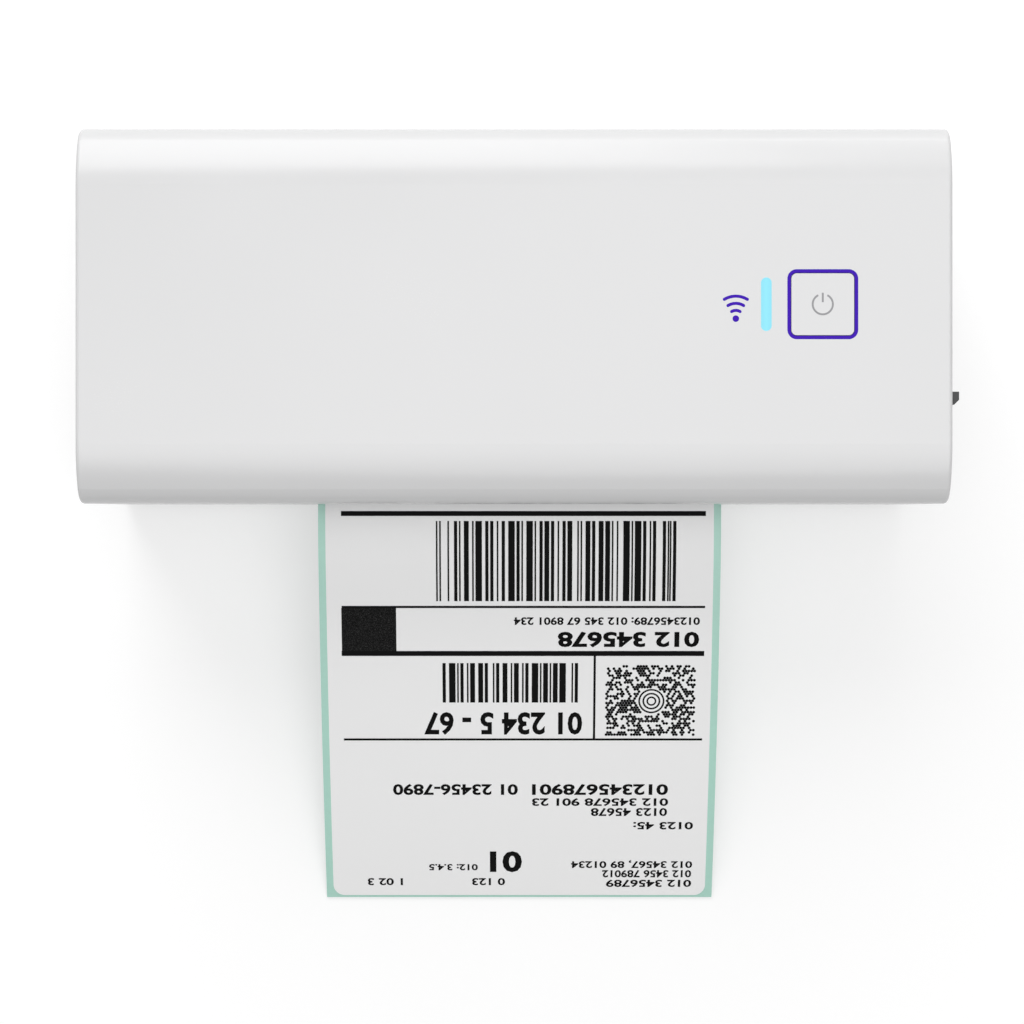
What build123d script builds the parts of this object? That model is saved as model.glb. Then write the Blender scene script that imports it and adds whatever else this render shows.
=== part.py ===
from build123d import *
import math
import os

# Shipping label printer with a hinged cover, in millimetres.
# +X is the right end, -Y the front where labels come out, +Z up.
# The origin is under the middle of the printer and its label together, on the table.

# Case
body_width = 213.0
body_depth = 92.0
body_height = 86.0
wall = 2.4
foot_lift = 2.5
base_top = 36.0
parting_gap = 0.5
end_edge_radius = 1.0
edge_turn_radius = 7.0
crown_turn_radius = 22.0
edge_turn_angle = 60.0

# Clearances, and how shapes are joined and cut
slip = 0.3
running = 0.05
lap = 0.5
past = 1.0

# Label and its path
path_x = 1.5
path_height = 35.1
liner_width = 105.4
liner_thickness = 0.15
label_width = 101.6
label_length = 152.4
label_thickness = 0.15
glue_gap = 0.03
label_corner = 3.0
liner_margin = 0.8
liner_behind_label = 2.8
exit_run = 3.9
exit_bend_radius = 50.0
exit_bend_angle = 13.5
drop_bend_radius = 449.0
tip_clearance = 0.68
slot_half_width = 57.0
exit_slot_low = 33.5
exit_slot_high = 40.4
inlet_slot_low = 31.5

# Hinge of the cover
hinge_offset = 6.5
hinge_inset = 26.5
knuckle_width = 14.0
knuckle_radius = 6.2
knuckle_clearance = 0.4
hinge_pin_radius = 1.5
hinge_ear_width = 3.2
hinge_ear_radius = 5.6

# Feet and floor of the base
foot_radius = 6.0
foot_end_inset = 20.5
foot_inset = 16.0
foot_seat_depth = 0.8
foot_edge_radius = 0.8
floor_thickness = 2.5
post_inset = 8.5
post_front = 10.0
post_rear = 74.0
post_radius = 4.0
post_rib_thickness = 2.0
case_screw_radius = 1.5
case_screw_length = 9.0
case_screw_head_radius = 2.8
case_screw_head_height = 1.6
recess_reach = 1.7
recess_width = 0.9
small_screw_radius = 0.75
small_screw_head_radius = 1.5
small_screw_head_height = 1.0
small_screw_length = 4.0

# Deck that the label slides on
deck_top = 34.0
deck_thickness = 2.0
deck_rear = 78.2
sill_depth = 13.5
sill_thickness = 2.0
inlet_chamfer = 1.4

# Platen and its drive
platen_setback = 20.0
platen_radius = 8.0
platen_gap = 0.1
platen_window_gap = 1.0
platen_half_width = 54.0
platen_shaft_radius = 3.0
platen_shaft_overhang = 2.0
cheek_gap = 3.0
cheek_thickness = 3.0
cheek_reach = 7.0
cheek_low = 18.0
bush_radius = 5.0
bush_flange_radius = 6.2
bush_flange_thickness = 0.8
bracket_thickness = 1.5
bracket_margin = 1.0
bracket_screw_inset = 2.0
gear_pressure_angle = 25.0
fine_module = 0.5
drive_module = 0.6
platen_gear_teeth = 26
idler_small_teeth = 16
idler_large_teeth = 40
pinion_teeth = 16
gear_backlash = 0.1
inner_gear_gap = 0.7
inner_gear_width = 4.0
gear_plane_gap = 0.7
outer_gear_width = 3.0
idler_stud_radius = 1.5
idler_stud_overrun = 2.0
clip_thickness = 0.6
clip_radius = 2.7
clip_groove_depth = 0.4
clip_mouth = 2.1
motor_setback = 41.0
motor_height = 18.0
motor_radius = 12.5
motor_length = 18.0
motor_edge_radius = 1.0
motor_plug_setback = 3.0
motor_plug_width = 11.0
motor_plug_height = 10.0
motor_plug_reach = 3.0
motor_boss_radius = 4.0
motor_boss_height = 1.2
motor_shaft_radius = 1.0

# Label guides
guide_clearance = 0.3
fence_thickness = 2.2
fence_front = 47.0
fence_rear = 77.0
fence_height = 6.7
guide_foot_width = 9.0
guide_foot_thickness = 1.2
guide_travel_in = 38.0
guide_travel_out = 4.0
guide_pinion_setback = 62.0
guide_module = 1.0
guide_pinion_teeth = 15
guide_pinion_width = 3.3
rack_back = 4.0
rack_height = 3.0
rack_overrun = 10.0
rack_end_margin = 1.0
stem_width = 2.4
stem_length = 4.0
pinion_post_radius = 2.0
pinion_screw_head_radius = 3.4
pinion_screw_head_height = 1.2
pinion_screw_slot_width = 0.6
pinion_screw_slot_length = 3.2
pinion_screw_slot_depth = 0.5

# Label sensor
sensor_setback = 38.0
sensor_size = 8.0
sensor_height = 4.0
sensor_window_radius = 1.5

# Electronics in the base
board_inset = 15.5
board_width = 80.0
board_front = 20.0
board_rear = 88.0
board_thickness = 1.6
board_standoff = 3.0
board_hole_inset = 4.0
board_rear_hole_inset = 16.0
board_screw_length = 4.0
processor_size = 12.0
processor_height = 1.4
memory_size = 9.0
memory_height = 1.2
driver_width = 8.0
driver_depth = 12.0
chip_row_setback = 40.0
memory_x = 20.0
processor_x = 40.0
driver_x = 54.0
capacitor_radius = 4.0
capacitor_height = 11.0
capacitor_setback = 62.0
capacitor_x = 14.0
capacitor_spacing = 10.0
header_x = 66.0
header_width = 6.0
header_depth = 20.0
header_height = 5.0
header_setback = 30.0
inlet_inset = 27.0
inlet_width = 9.0
inlet_height = 11.0
inlet_length = 13.5
inlet_bore_radius = 3.2
inlet_bore_depth = 9.0
inlet_contact_radius = 1.0
inlet_contact_recess = 1.0
data_spacing = 19.5
data_width = 12.0
data_height = 11.0
data_length = 16.0
data_depth = 11.0
data_tongue_recess = 1.0
data_shell = 1.8
data_tongue_height = 3.2
data_tongue_width = 5.6
socket_recess = 1.0
radio_width = 18.0
radio_depth = 13.0
radio_height = 2.4
radio_corner = 1.0
radio_inset = 3.0
radio_rear_inset = 24.0

# Frame inside the cover
lid_panel_low = 42.5
lid_panel_thickness = 2.0
lid_panel_rear = 78.0
lid_boss_inset = 10.5
lid_boss_front = 12.0
lid_boss_rear = 70.0
lid_boss_radius = 3.5
head_window_front = 11.0
head_window_rear = 32.0
leg_thickness = 3.0
leg_top = 60.0
bridge_front = 14.0
bridge_rear = 24.5
bridge_low = 53.0
bridge_thickness = 2.5
outer_rib_inset = 10.5
outer_rib_thickness = 2.0
outer_rib_margin = 1.0

# Print head
head_gap = 0.17
head_half_width = 56.0
ceramic_inset = 2.0
ceramic_depth = 8.0
ceramic_thickness = 1.0
heat_sink_depth = 19.0
heat_sink_height = 8.2
heat_sink_groove = 2.0
head_bracket_thickness = 1.2
head_bracket_lap = 1.5
spring_radius = 3.5
spring_wire = 0.6
spring_spacing = 36.0
spring_end_gap = 0.9
spring_cup_wall = 0.8
spring_cup_depth = 2.4

# Tear bar
tear_bar_thickness = 0.8
tear_bar_height = 6.0
tear_bar_inset = 1.0
tear_tooth_pitch = 2.0
tear_tooth_height = 0.8
tear_bar_lift = 0.1

# Latch
latch_setback = 28.0
latch_height = 56.0
latch_turn = 10.0
latch_shaft_radius = 2.5
latch_hub_radius = 5.0
hook_inset = 24.5
hook_width = 4.0
strike_drop = 27.0
strike_radius = 1.5
strike_rib_thickness = 2.0
strike_rib_front = 4.0
strike_rib_rear = 5.0
strike_rib_drop = 4.0
latch_shaft_overhang = 1.0
hook_window_margin = 1.0
hook_arm_depth = 4.0
hook_nose_reach = 2.0
hook_nose_thickness = 2.8
lever_arm_width = 3.5
lever_rib_front = 24.3
lever_rib_depth = 3.2
lever_rib_top_inset = 8.0
lever_rib_reach = 2.8
lever_neck_depth = 2.2
lever_neck_rise = 3.0
lever_neck_inset = 2.0
lever_window_margin = 1.0
lever_chamfer = 1.2
latch_spring_inset = 17.5
latch_spring_length = 4.0
latch_spring_radius = 4.0
latch_spring_wire = 0.8

# Controls on top
button_inset = 31.6
button_setback = 48.35
ring_width = 17.2
ring_depth = 17.0
ring_corner = 2.3
ring_stroke = 0.85
button_gap = 0.15
button_sink = 0.05
button_travel = 0.8
button_flange_lap = 1.3
button_flange_thickness = 1.0
stem_radius = 2.0
light_spacing = 13.7
light_width = 2.6
light_length = 13.0
light_flange = 1.0
light_flange_thickness = 1.2
control_board_left_reach = 30.9
control_board_right_reach = 17.1
control_board_front = 37.0
control_board_rear = 60.0
control_board_drop = 9.6
control_board_inset = 3.5
control_boss_radius = 2.5
switch_size = 6.0
switch_height = 3.5
switch_bore_radius = 1.75
switch_stem_radius = 1.55
switch_stem_length = 2.2
led_size = 1.6
led_height = 0.8

# Worked out from the sizes above
lid_bottom = base_top + parting_gap
half_width = body_width / 2
foot_x = half_width - foot_end_inset
post_x = half_width - post_inset
hinge_x = half_width - hinge_inset
lid_boss_x = half_width - lid_boss_inset
outer_rib_x = half_width - outer_rib_inset
hook_x = half_width - hook_inset
latch_spring_x = half_width - latch_spring_inset
button_x = half_width - button_inset
light_x = button_x - light_spacing
inlet_x = inlet_inset - half_width
data_x = inlet_x + data_spacing
board_left = board_inset - half_width
board_right = board_left + board_width
exit_turn = math.radians(exit_bend_angle)
bend_drop = exit_bend_radius * (1 - math.cos(exit_turn))
drop_left = path_height - tip_clearance - bend_drop
tip_turn = math.acos(math.cos(exit_turn) - drop_left / drop_bend_radius)
bend_reach = exit_bend_radius * math.sin(exit_turn)
drop_reach = drop_bend_radius * (math.sin(tip_turn) - math.sin(exit_turn))
label_reach = exit_run + bend_reach + drop_reach
front = (label_reach - body_depth) / 2
rear = front + body_depth
hinge_y = rear - hinge_offset
hinge_z = lid_bottom + hinge_offset
platen_y = front + platen_setback
platen_z = path_height - platen_gap - platen_radius
deck_low = deck_top - deck_thickness
floor_top = foot_lift + floor_thickness
board_low = floor_top + board_standoff
board_top = board_low + board_thickness
label_low = liner_thickness + glue_gap
label_top = path_height + label_low + label_thickness
head_low = label_top + head_gap
ceramic_top = head_low + ceramic_thickness
heat_sink_top = ceramic_top + heat_sink_height
head_bracket_top = heat_sink_top + head_bracket_thickness
lid_panel_top = lid_panel_low + lid_panel_thickness
lid_ceiling = body_height - wall
latch_y = front + latch_setback
strike_z = latch_height - strike_drop
lever_rib_low = latch_height + latch_hub_radius
lever_rib_high = body_height - lever_rib_top_inset
lever_neck_low = lever_rib_low + lever_neck_rise
lever_neck_high = lever_rib_high - lever_neck_inset
strike_pin_reach = hook_width / 2 + 2 * slip + strike_rib_thickness
cheek_inner = platen_half_width + cheek_gap
cheek_outer = cheek_inner + cheek_thickness
bracket_outer = cheek_outer + bracket_thickness
inner_gear_x = path_x + bracket_outer + inner_gear_gap
outer_gear_x = inner_gear_x + inner_gear_width + gear_plane_gap
platen_pitch = drive_module * platen_gear_teeth / 2
idler_small_pitch = drive_module * idler_small_teeth / 2
idler_large_pitch = fine_module * idler_large_teeth / 2
pinion_pitch = fine_module * pinion_teeth / 2
motor_y = front + motor_setback
guide_pitch = guide_module * guide_pinion_teeth / 2
pinion_y = front + guide_pinion_setback
fence_x = liner_width / 2 + guide_clearance
rack_top = deck_low - slip
guide_pinion_top = rack_top - slip / 3
pinion_post_low = guide_pinion_top - guide_pinion_width - slip
button_y = front + button_setback
button_top = body_height - button_sink
control_board_height = lid_ceiling - control_board_drop
control_board_top = control_board_height + board_thickness
control_board_left = button_x - control_board_left_reach
control_board_right = button_x + control_board_right_reach
clip_at = outer_gear_x + outer_gear_width + slip


def idler_centre():
    """Where the idler sits so that both of its meshes are at their centre distances."""
    to_platen = platen_pitch + idler_small_pitch
    to_motor = pinion_pitch + idler_large_pitch
    span_y = motor_y - platen_y
    span_z = motor_height - platen_z
    span = math.hypot(span_y, span_z)
    along = (to_platen ** 2 - to_motor ** 2 + span ** 2) / (2 * span)
    aside = math.sqrt(to_platen ** 2 - along ** 2)
    unit_y = span_y / span
    unit_z = span_z / span
    return platen_y + along * unit_y + aside * unit_z, platen_z + along * unit_z - aside * unit_y


idler_y, idler_z = idler_centre()


def block(x0, x1, y0, y1, z0, z1):
    """A box between two corners."""
    size = Box(x1 - x0, y1 - y0, z1 - z0)
    return Pos((x0 + x1) / 2, (y0 + y1) / 2, (z0 + z1) / 2) * size


def rod_x(x0, x1, y, z, radius):
    """A round bar along X."""
    return Pos((x0 + x1) / 2, y, z) * Rot(0, 90, 0) * Cylinder(radius, x1 - x0)


def rod_y(x, y0, y1, z, radius):
    """A round bar along Y."""
    return Pos(x, (y0 + y1) / 2, z) * Rot(90, 0, 0) * Cylinder(radius, y1 - y0)


def rod_z(x, y, z0, z1, radius):
    """A round bar along Z."""
    return Pos(x, y, (z0 + z1) / 2) * Cylinder(radius, z1 - z0)


def rounded_block(x, y, width, depth, corner, z0, z1):
    """A flat block with rounded upright corners, centred on x, y."""
    outline = Pos(x, y, z0) * RectangleRounded(width, depth, corner)
    return extrude(outline, z1 - z0, dir=(0, 0, 1))


def save(name, *solids):
    """Write one node, as one solid or a group of separate ones."""
    found = []
    for shape in solids:
        found.extend(shape.solids())
    export_step(found[0] if len(found) == 1 else Compound(children=found), f"parts/{name}.step")


# Gears

def gear_outline(module, teeth, turn):
    """A spur gear's outline in its own plane, with a tooth centred at the angle turn."""
    pitch = module * teeth / 2
    pressure = math.radians(gear_pressure_angle)
    base = pitch * math.cos(pressure)
    tip = pitch + 0.9 * module
    root = pitch - 1.2 * module
    flank_start = max(base, root)
    half_tooth = math.pi / (2 * teeth) - gear_backlash / (2 * pitch)
    involute = math.tan(pressure) - pressure

    def flank(radius):
        roll = math.acos(min(1.0, base / radius))
        return half_tooth + involute - (math.tan(roll) - roll)

    def point(radius, angle):
        return radius * math.cos(angle), radius * math.sin(angle)

    middle = (flank_start + tip) / 2
    step = 2 * math.pi / teeth
    edges = []
    for index in range(teeth):
        centre = turn + index * step
        down = [point(r, centre - flank(r)) for r in (flank_start, middle, tip)]
        up = [point(r, centre + flank(r)) for r in (tip, middle, flank_start)]
        foot_in = point(root, centre - flank(flank_start))
        foot_out = point(root, centre + flank(flank_start))
        next_foot = point(root, centre + step - flank(flank_start))
        if flank_start > root:
            edges.append(Line(foot_in, down[0]))
        edges.append(ThreePointArc(*down))
        edges.append(ThreePointArc(down[2], point(tip, centre), up[0]))
        edges.append(ThreePointArc(*up))
        if flank_start > root:
            edges.append(Line(up[2], foot_out))
        edges.append(ThreePointArc(foot_out, point(root, centre + step / 2), next_foot))
    return make_face(Wire(edges))


def gear_x(module, teeth, turn, x0, width, y, z):
    """A spur gear on an axis along X."""
    outline = Plane((x0, y, z), x_dir=(0, 1, 0), z_dir=(1, 0, 0)) * gear_outline(module, teeth, turn)
    return extrude(outline, width, dir=(1, 0, 0))


def toward(y0, z0, y1, z1):
    """The angle from one axis to another in the plane of the drive gears."""
    return math.atan2(z1 - z0, y1 - y0)


def tooth_gap(teeth):
    """Half a tooth step, which puts a gap where a tooth would be."""
    return math.pi / teeth


# Cover

def cover_outline(inset, low):
    """The cover's section across its depth, moved in by inset, down to the height low."""
    turn = math.radians(edge_turn_angle)
    rise = (crown_turn_radius - edge_turn_radius) * math.sin(turn)
    run = (crown_turn_radius - edge_turn_radius) * math.cos(turn)
    edge_z = body_height - crown_turn_radius + rise
    crown_z = body_height - crown_turn_radius
    edge_r = edge_turn_radius - inset
    crown_r = crown_turn_radius - inset

    def front_point(centre_y, centre_z, radius, angle):
        return centre_y - radius * math.cos(angle), centre_z + radius * math.sin(angle)

    def turned(radius_y, radius_z, radius, start, end, mirrored):
        points = [front_point(radius_y, radius_z, radius, a) for a in (start, (start + end) / 2, end)]
        if mirrored:
            points = [(front + rear - y, z) for y, z in reversed(points)]
        return ThreePointArc(*points)

    edge_y = front + edge_turn_radius
    crown_y = edge_y + run
    quarter = math.pi / 2
    drop = hinge_offset - inset
    edges = [
        Line((front + inset, low), (front + inset, edge_z)),
        turned(edge_y, edge_z, edge_r, 0, turn, False),
        turned(crown_y, crown_z, crown_r, turn, quarter, False),
        Line((crown_y, body_height - inset), (front + rear - crown_y, body_height - inset)),
        turned(crown_y, crown_z, crown_r, turn, quarter, True),
        turned(edge_y, edge_z, edge_r, 0, turn, True),
        Line((rear - inset, edge_z), (rear - inset, hinge_z)),
        ThreePointArc(
            (rear - inset, hinge_z),
            (hinge_y + drop * math.sqrt(0.5), hinge_z - drop * math.sqrt(0.5)),
            (hinge_y, hinge_z - drop),
        ),
    ]
    if low < hinge_z - drop:
        edges.append(Line((hinge_y, hinge_z - drop), (hinge_y, low)))
    edges.append(Line((hinge_y, low), (front + inset, low)))
    return make_face(Wire(edges))


def along_x(outline, x0, x1):
    """A section in the Y-Z plane, drawn out from x0 to x1."""
    placed = Plane((x0, 0, 0), x_dir=(0, 1, 0), z_dir=(1, 0, 0)) * outline
    return extrude(placed, x1 - x0, dir=(1, 0, 0))


def hinge_ears(side):
    """The two ears of the cover that hold one hinge pin, either side of a knuckle of the base."""
    ears = []
    inner = hinge_x - knuckle_width / 2 - slip - hinge_ear_width
    outer = hinge_x + knuckle_width / 2 + slip
    for start in (inner, outer):
        x0, x1 = sorted((side * start, side * (start + hinge_ear_width)))
        ear = rod_x(x0, x1, hinge_y, hinge_z, hinge_ear_radius)
        ear += block(x0, x1, hinge_y, rear - wall / 2, hinge_z, hinge_z + 2 * hinge_ear_radius)
        ears.append(ear - rod_x(x0 - past, x1 + past, hinge_y, hinge_z, hinge_pin_radius + running))
    return ears[0] + ears[1]


def knuckle_notch(side):
    """The gap in the cover's rear edge that clears a knuckle of the base."""
    half = knuckle_width / 2 + slip
    top = hinge_z + knuckle_radius + knuckle_clearance
    x = side * hinge_x
    return block(x - half, x + half, hinge_y - hinge_offset, rear + past, lid_bottom - past, top)


def lever_window():
    """The slot in the cover's right end that the lever's neck swings in."""
    y0 = front + lever_rib_front + (lever_rib_depth - lever_neck_depth) / 2 - 2 * slip
    swing = (lever_neck_high - latch_height) * math.sin(math.radians(latch_turn))
    y1 = y0 + lever_neck_depth + 4 * slip + swing
    low = lever_neck_low - lever_window_margin
    high = lever_neck_high + lever_window_margin
    return block(half_width - wall - past, half_width + past, y0, y1, low, high)


def lid_bosses():
    """The posts under the cover's top that its inner frame is screwed to."""
    made = []
    for side in (-1, 1):
        for setback in (lid_boss_front, lid_boss_rear):
            post = rod_z(side * lid_boss_x, front + setback, lid_panel_top, lid_ceiling + wall / 2, lid_boss_radius)
            made.append(post)
    return made


def control_boss_places():
    """Where the control board is held."""
    x0 = control_board_left + control_board_inset
    x1 = control_board_right - control_board_inset
    y0 = front + control_board_front + control_board_inset
    y1 = front + control_board_rear - control_board_inset
    return [(x0, y0), (x1, y0), (x0, y1), (x1, y1)]


def top_cover():
    """The white shell over the whole top, with its ends, ears, posts and openings."""
    shell = along_x(cover_outline(0, lid_bottom), -half_width, half_width)
    ends = []
    for side in (-1, 1):
        face = shell.faces().filter_by(Axis.X).sort_by(Axis.X)[0 if side < 0 else -1]
        ends.extend(edge for edge in face.edges() if edge.bounding_box().max.Z > lid_bottom + slip)
    shell = fillet(ends, end_edge_radius)
    shell -= along_x(cover_outline(wall, lid_bottom - past), wall - half_width, half_width - wall)
    shell += hinge_ears(-1)
    shell += hinge_ears(1)
    for side in (-1, 1):
        shell -= knuckle_notch(side)
    for post in lid_bosses():
        shell += post
    for x, y in control_boss_places():
        shell += rod_z(x, y, control_board_top, lid_ceiling + wall / 2, control_boss_radius)
    slot_x = (path_x - slot_half_width, path_x + slot_half_width)
    shell -= block(*slot_x, front - past, front + wall + past, lid_bottom - past, exit_slot_high)
    shell -= lever_window()
    through = (lid_ceiling - past, body_height + past)
    shell -= rounded_block(button_x, button_y, ring_width, ring_depth, ring_corner, *through)
    shell -= light_slot(0, *through)
    for side in (-1, 1):
        for setback in (lid_boss_front, lid_boss_rear):
            x = side * lid_boss_x
            hole_end = lid_panel_low + case_screw_length + past
            shell -= rod_z(x, front + setback, lid_panel_top - past, hole_end, case_screw_radius)
    for x, y in control_boss_places():
        hole_end = control_board_top + small_screw_length + past
        shell -= rod_z(x, y, control_board_top - past, hole_end, small_screw_radius)
    return shell


def light_slot(grow, z0, z1):
    """The long round-ended shape of the status light."""
    width = light_width + 2 * grow
    length = light_length + 2 * grow
    return rounded_block(light_x, button_y, width, length, 0.99 * width / 2, z0, z1)


# Base

def post_places():
    """The corners where deck, base and floor are screwed together."""
    return [(side * post_x, front + setback) for side in (-1, 1) for setback in (post_front, post_rear)]


def knuckle(side):
    """One hinge knuckle on the base's rear edge, with its neck."""
    x0 = side * hinge_x - knuckle_width / 2
    x1 = side * hinge_x + knuckle_width / 2
    shape = rod_x(x0, x1, hinge_y, hinge_z, knuckle_radius)
    neck_front = hinge_y - knuckle_radius
    neck_rear = hinge_y + knuckle_radius
    shape += block(x0, x1, neck_front, neck_rear, inlet_slot_low - sill_thickness, hinge_z)
    return shape - rod_x(x0 - past, x1 + past, hinge_y, hinge_z, hinge_pin_radius)


def base_housing():
    """The white tub: walls, label slots, rear sill, posts and hinge knuckles."""
    shell = block(-half_width, half_width, front, rear, foot_lift, base_top)
    shell = fillet(shell.edges().filter_by(Axis.Z), end_edge_radius)
    inner_x = half_width - wall
    shell -= block(-inner_x, inner_x, front + wall, rear - wall, foot_lift - past, base_top + past)
    slot_x = (path_x - slot_half_width, path_x + slot_half_width)
    shell -= block(*slot_x, front - past, front + wall + past, exit_slot_low, base_top + past)
    shell -= block(*slot_x, rear - wall - past, rear + past, inlet_slot_low, base_top + past)
    sill_low = inlet_slot_low - sill_thickness
    shell += block(-inner_x, inner_x, rear - sill_depth, rear - wall, sill_low, inlet_slot_low)
    for x, y in post_places():
        x_wall = math.copysign(inner_x, x)
        shell += rod_z(x, y, floor_top, deck_low, post_radius)
        x0, x1 = sorted((x, x_wall))
        rib_half = post_rib_thickness / 2
        shell += block(x0, x1, y - rib_half, y + rib_half, floor_top, deck_low)
        floor_screw_end = foot_lift + case_screw_head_height + case_screw_length
        shell -= rod_z(x, y, floor_top - past, floor_screw_end + past, case_screw_radius)
        shell -= rod_z(x, y, deck_top - case_screw_length - past, deck_low + past, case_screw_radius)
    for side in (-1, 1):
        shell += knuckle(side)
    for x, width, height in ((inlet_x, inlet_width, inlet_height), (data_x, data_width, data_height)):
        half = width / 2 + slip
        top = board_top + height + slip
        shell -= block(x - half, x + half, rear - wall - past, rear + past, board_top - slip, top)
    return shell


def foot_places():
    """Centres of the four feet."""
    return [(side * foot_x, y) for side in (-1, 1) for y in (front + foot_inset, rear - foot_inset)]


def board_hole_places():
    """Centres of the main board's four screws."""
    return [
        (x, front + setback)
        for x in (board_left + board_hole_inset, board_right - board_hole_inset)
        for setback in (board_front + board_hole_inset, board_rear - board_rear_hole_inset)
    ]


def bottom_cover():
    """The floor plate with seats for the feet and stand-offs for the board."""
    x = half_width - wall - slip
    plate = block(-x, x, front + wall + slip, rear - wall - slip, foot_lift, floor_top)
    for foot_at_x, foot_at_y in foot_places():
        seat_top = foot_lift + foot_seat_depth
        plate -= rod_z(foot_at_x, foot_at_y, foot_lift - past, seat_top, foot_radius + slip)
    for post_at_x, post_at_y in post_places():
        plate -= rod_z(post_at_x, post_at_y, foot_lift - past, floor_top + past, case_screw_radius + slip)
        head_top = foot_lift + case_screw_head_height
        plate -= rod_z(post_at_x, post_at_y, foot_lift - past, head_top, case_screw_head_radius + slip)
    for hole_x, hole_y in board_hole_places():
        plate += rod_z(hole_x, hole_y, floor_top - lap, board_low, 2 * case_screw_radius)
        plate -= rod_z(hole_x, hole_y, floor_top - past, board_low + past, case_screw_radius)
    return plate


def rubber_feet():
    """Four round feet."""
    feet = []
    for x, y in foot_places():
        foot = rod_z(x, y, 0, foot_lift + foot_seat_depth, foot_radius)
        rim = foot.edges().filter_by(GeomType.CIRCLE).sort_by(Axis.Z)[0]
        feet.append(fillet(rim, foot_edge_radius))
    return feet


def screw(x, y, z_seat, length, up):
    """A round-headed screw with a cross recess, whose head sits at z_seat; up is where its point looks."""
    shank = rod_z(x, y, min(z_seat, z_seat + up * length), max(z_seat, z_seat + up * length), case_screw_radius)
    head_end = z_seat - up * case_screw_head_height
    head = rod_z(x, y, min(z_seat, head_end), max(z_seat, head_end), case_screw_head_radius)
    z0, z1 = sorted((head_end - up * past, head_end + up * case_screw_head_height / 2))
    narrow = recess_width / 2
    head -= block(x - recess_reach, x + recess_reach, y - narrow, y + narrow, z0, z1)
    head -= block(x - narrow, x + narrow, y - recess_reach, y + recess_reach, z0, z1)
    return shank + head


# Deck and guides

def guide_slot(side):
    """The slot in the deck that one guide's stem runs in."""
    stem_y = rack_centre(side)
    outer = fence_x + fence_thickness + stem_length + guide_travel_out + slip
    inner = fence_x + fence_thickness - guide_travel_in - slip
    x0, x1 = sorted((path_x + side * outer, path_x + side * inner))
    half = stem_width / 2 + slip
    return block(x0, x1, stem_y - half, stem_y + half, deck_low - past, deck_top + past)


def rack_centre(side):
    """The Y of one rack's bar: the left rack runs in front of the pinion, the right one behind."""
    return pinion_y + side * (guide_pitch + rack_back / 2)


def hook_window(x, z0, z1):
    """The opening that a latch hook swings in."""
    swing = (latch_height - z0) * math.sin(math.radians(latch_turn))
    y0 = latch_y - strike_radius - slip - hook_arm_depth - swing - hook_window_margin
    y1 = latch_y + latch_hub_radius + slip
    half = hook_width / 2 + 2 * slip
    return block(x - half, x + half, y0, y1, z0 - past, z1 + past)


def strike_ribs(x):
    """Two ribs under the deck that hold a strike pin."""
    ribs = []
    half = hook_width / 2 + 2 * slip
    for start in (x - half - strike_rib_thickness, x + half):
        end = start + strike_rib_thickness
        low = strike_z - strike_rib_drop
        ribs.append(block(start, end, latch_y - strike_rib_front, latch_y + strike_rib_rear, low, deck_low))
    return ribs


def deck():
    """The dark bed that the label slides on, with cheeks for the platen and ribs for the latch."""
    x = half_width - wall - slip
    bed = block(-x, x, front + wall + slip, front + deck_rear, deck_low, deck_top)
    rear_edge = bed.edges().filter_by(Axis.X).group_by(Axis.Z)[-1].sort_by(Axis.Y)[-1]
    bed = chamfer(rear_edge, inlet_chamfer)
    for side in (-1, 1):
        x0, x1 = sorted((path_x + side * cheek_inner, path_x + side * cheek_outer))
        bed += block(x0, x1, platen_y - cheek_reach, platen_y + cheek_reach, cheek_low, deck_low + lap)
    through = (deck_low - past, deck_top + past)
    reach = platen_radius + platen_window_gap
    bed -= block(path_x - cheek_inner, path_x + cheek_inner, platen_y - reach, platen_y + reach, *through)
    gear_reach = platen_pitch + 2 * drive_module
    window_end = inner_gear_x + inner_gear_width + platen_window_gap
    bed -= block(path_x + cheek_outer, window_end, platen_y - gear_reach, platen_y + gear_reach, *through)
    for side in (-1, 1):
        x0, x1 = sorted((path_x + side * (cheek_inner - past), path_x + side * (cheek_outer + past)))
        bed -= rod_x(x0, x1, platen_y, platen_z, bush_radius)
        bed -= guide_slot(side)
        bed -= hook_window(side * hook_x, deck_low, deck_top)
        for rib in strike_ribs(side * hook_x):
            bed += rib
        reach = strike_pin_reach + past
        bed -= rod_x(side * hook_x - reach, side * hook_x + reach, latch_y, strike_z, strike_radius)
    bed += rod_z(path_x, pinion_y, pinion_post_low, deck_low + lap, pinion_post_radius)
    bed -= rod_z(path_x, pinion_y, pinion_post_low - past, deck_low, small_screw_radius)
    bed -= rod_z(path_x, front + sensor_setback, *through, sensor_window_radius)
    for x, y in post_places():
        bed -= rod_z(x, y, *through, case_screw_radius + slip)
    for y, z in bracket_screw_places():
        bed -= rod_x(path_x + cheek_inner - past, path_x + cheek_outer + past, y, z, small_screw_radius)
    return bed


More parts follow.
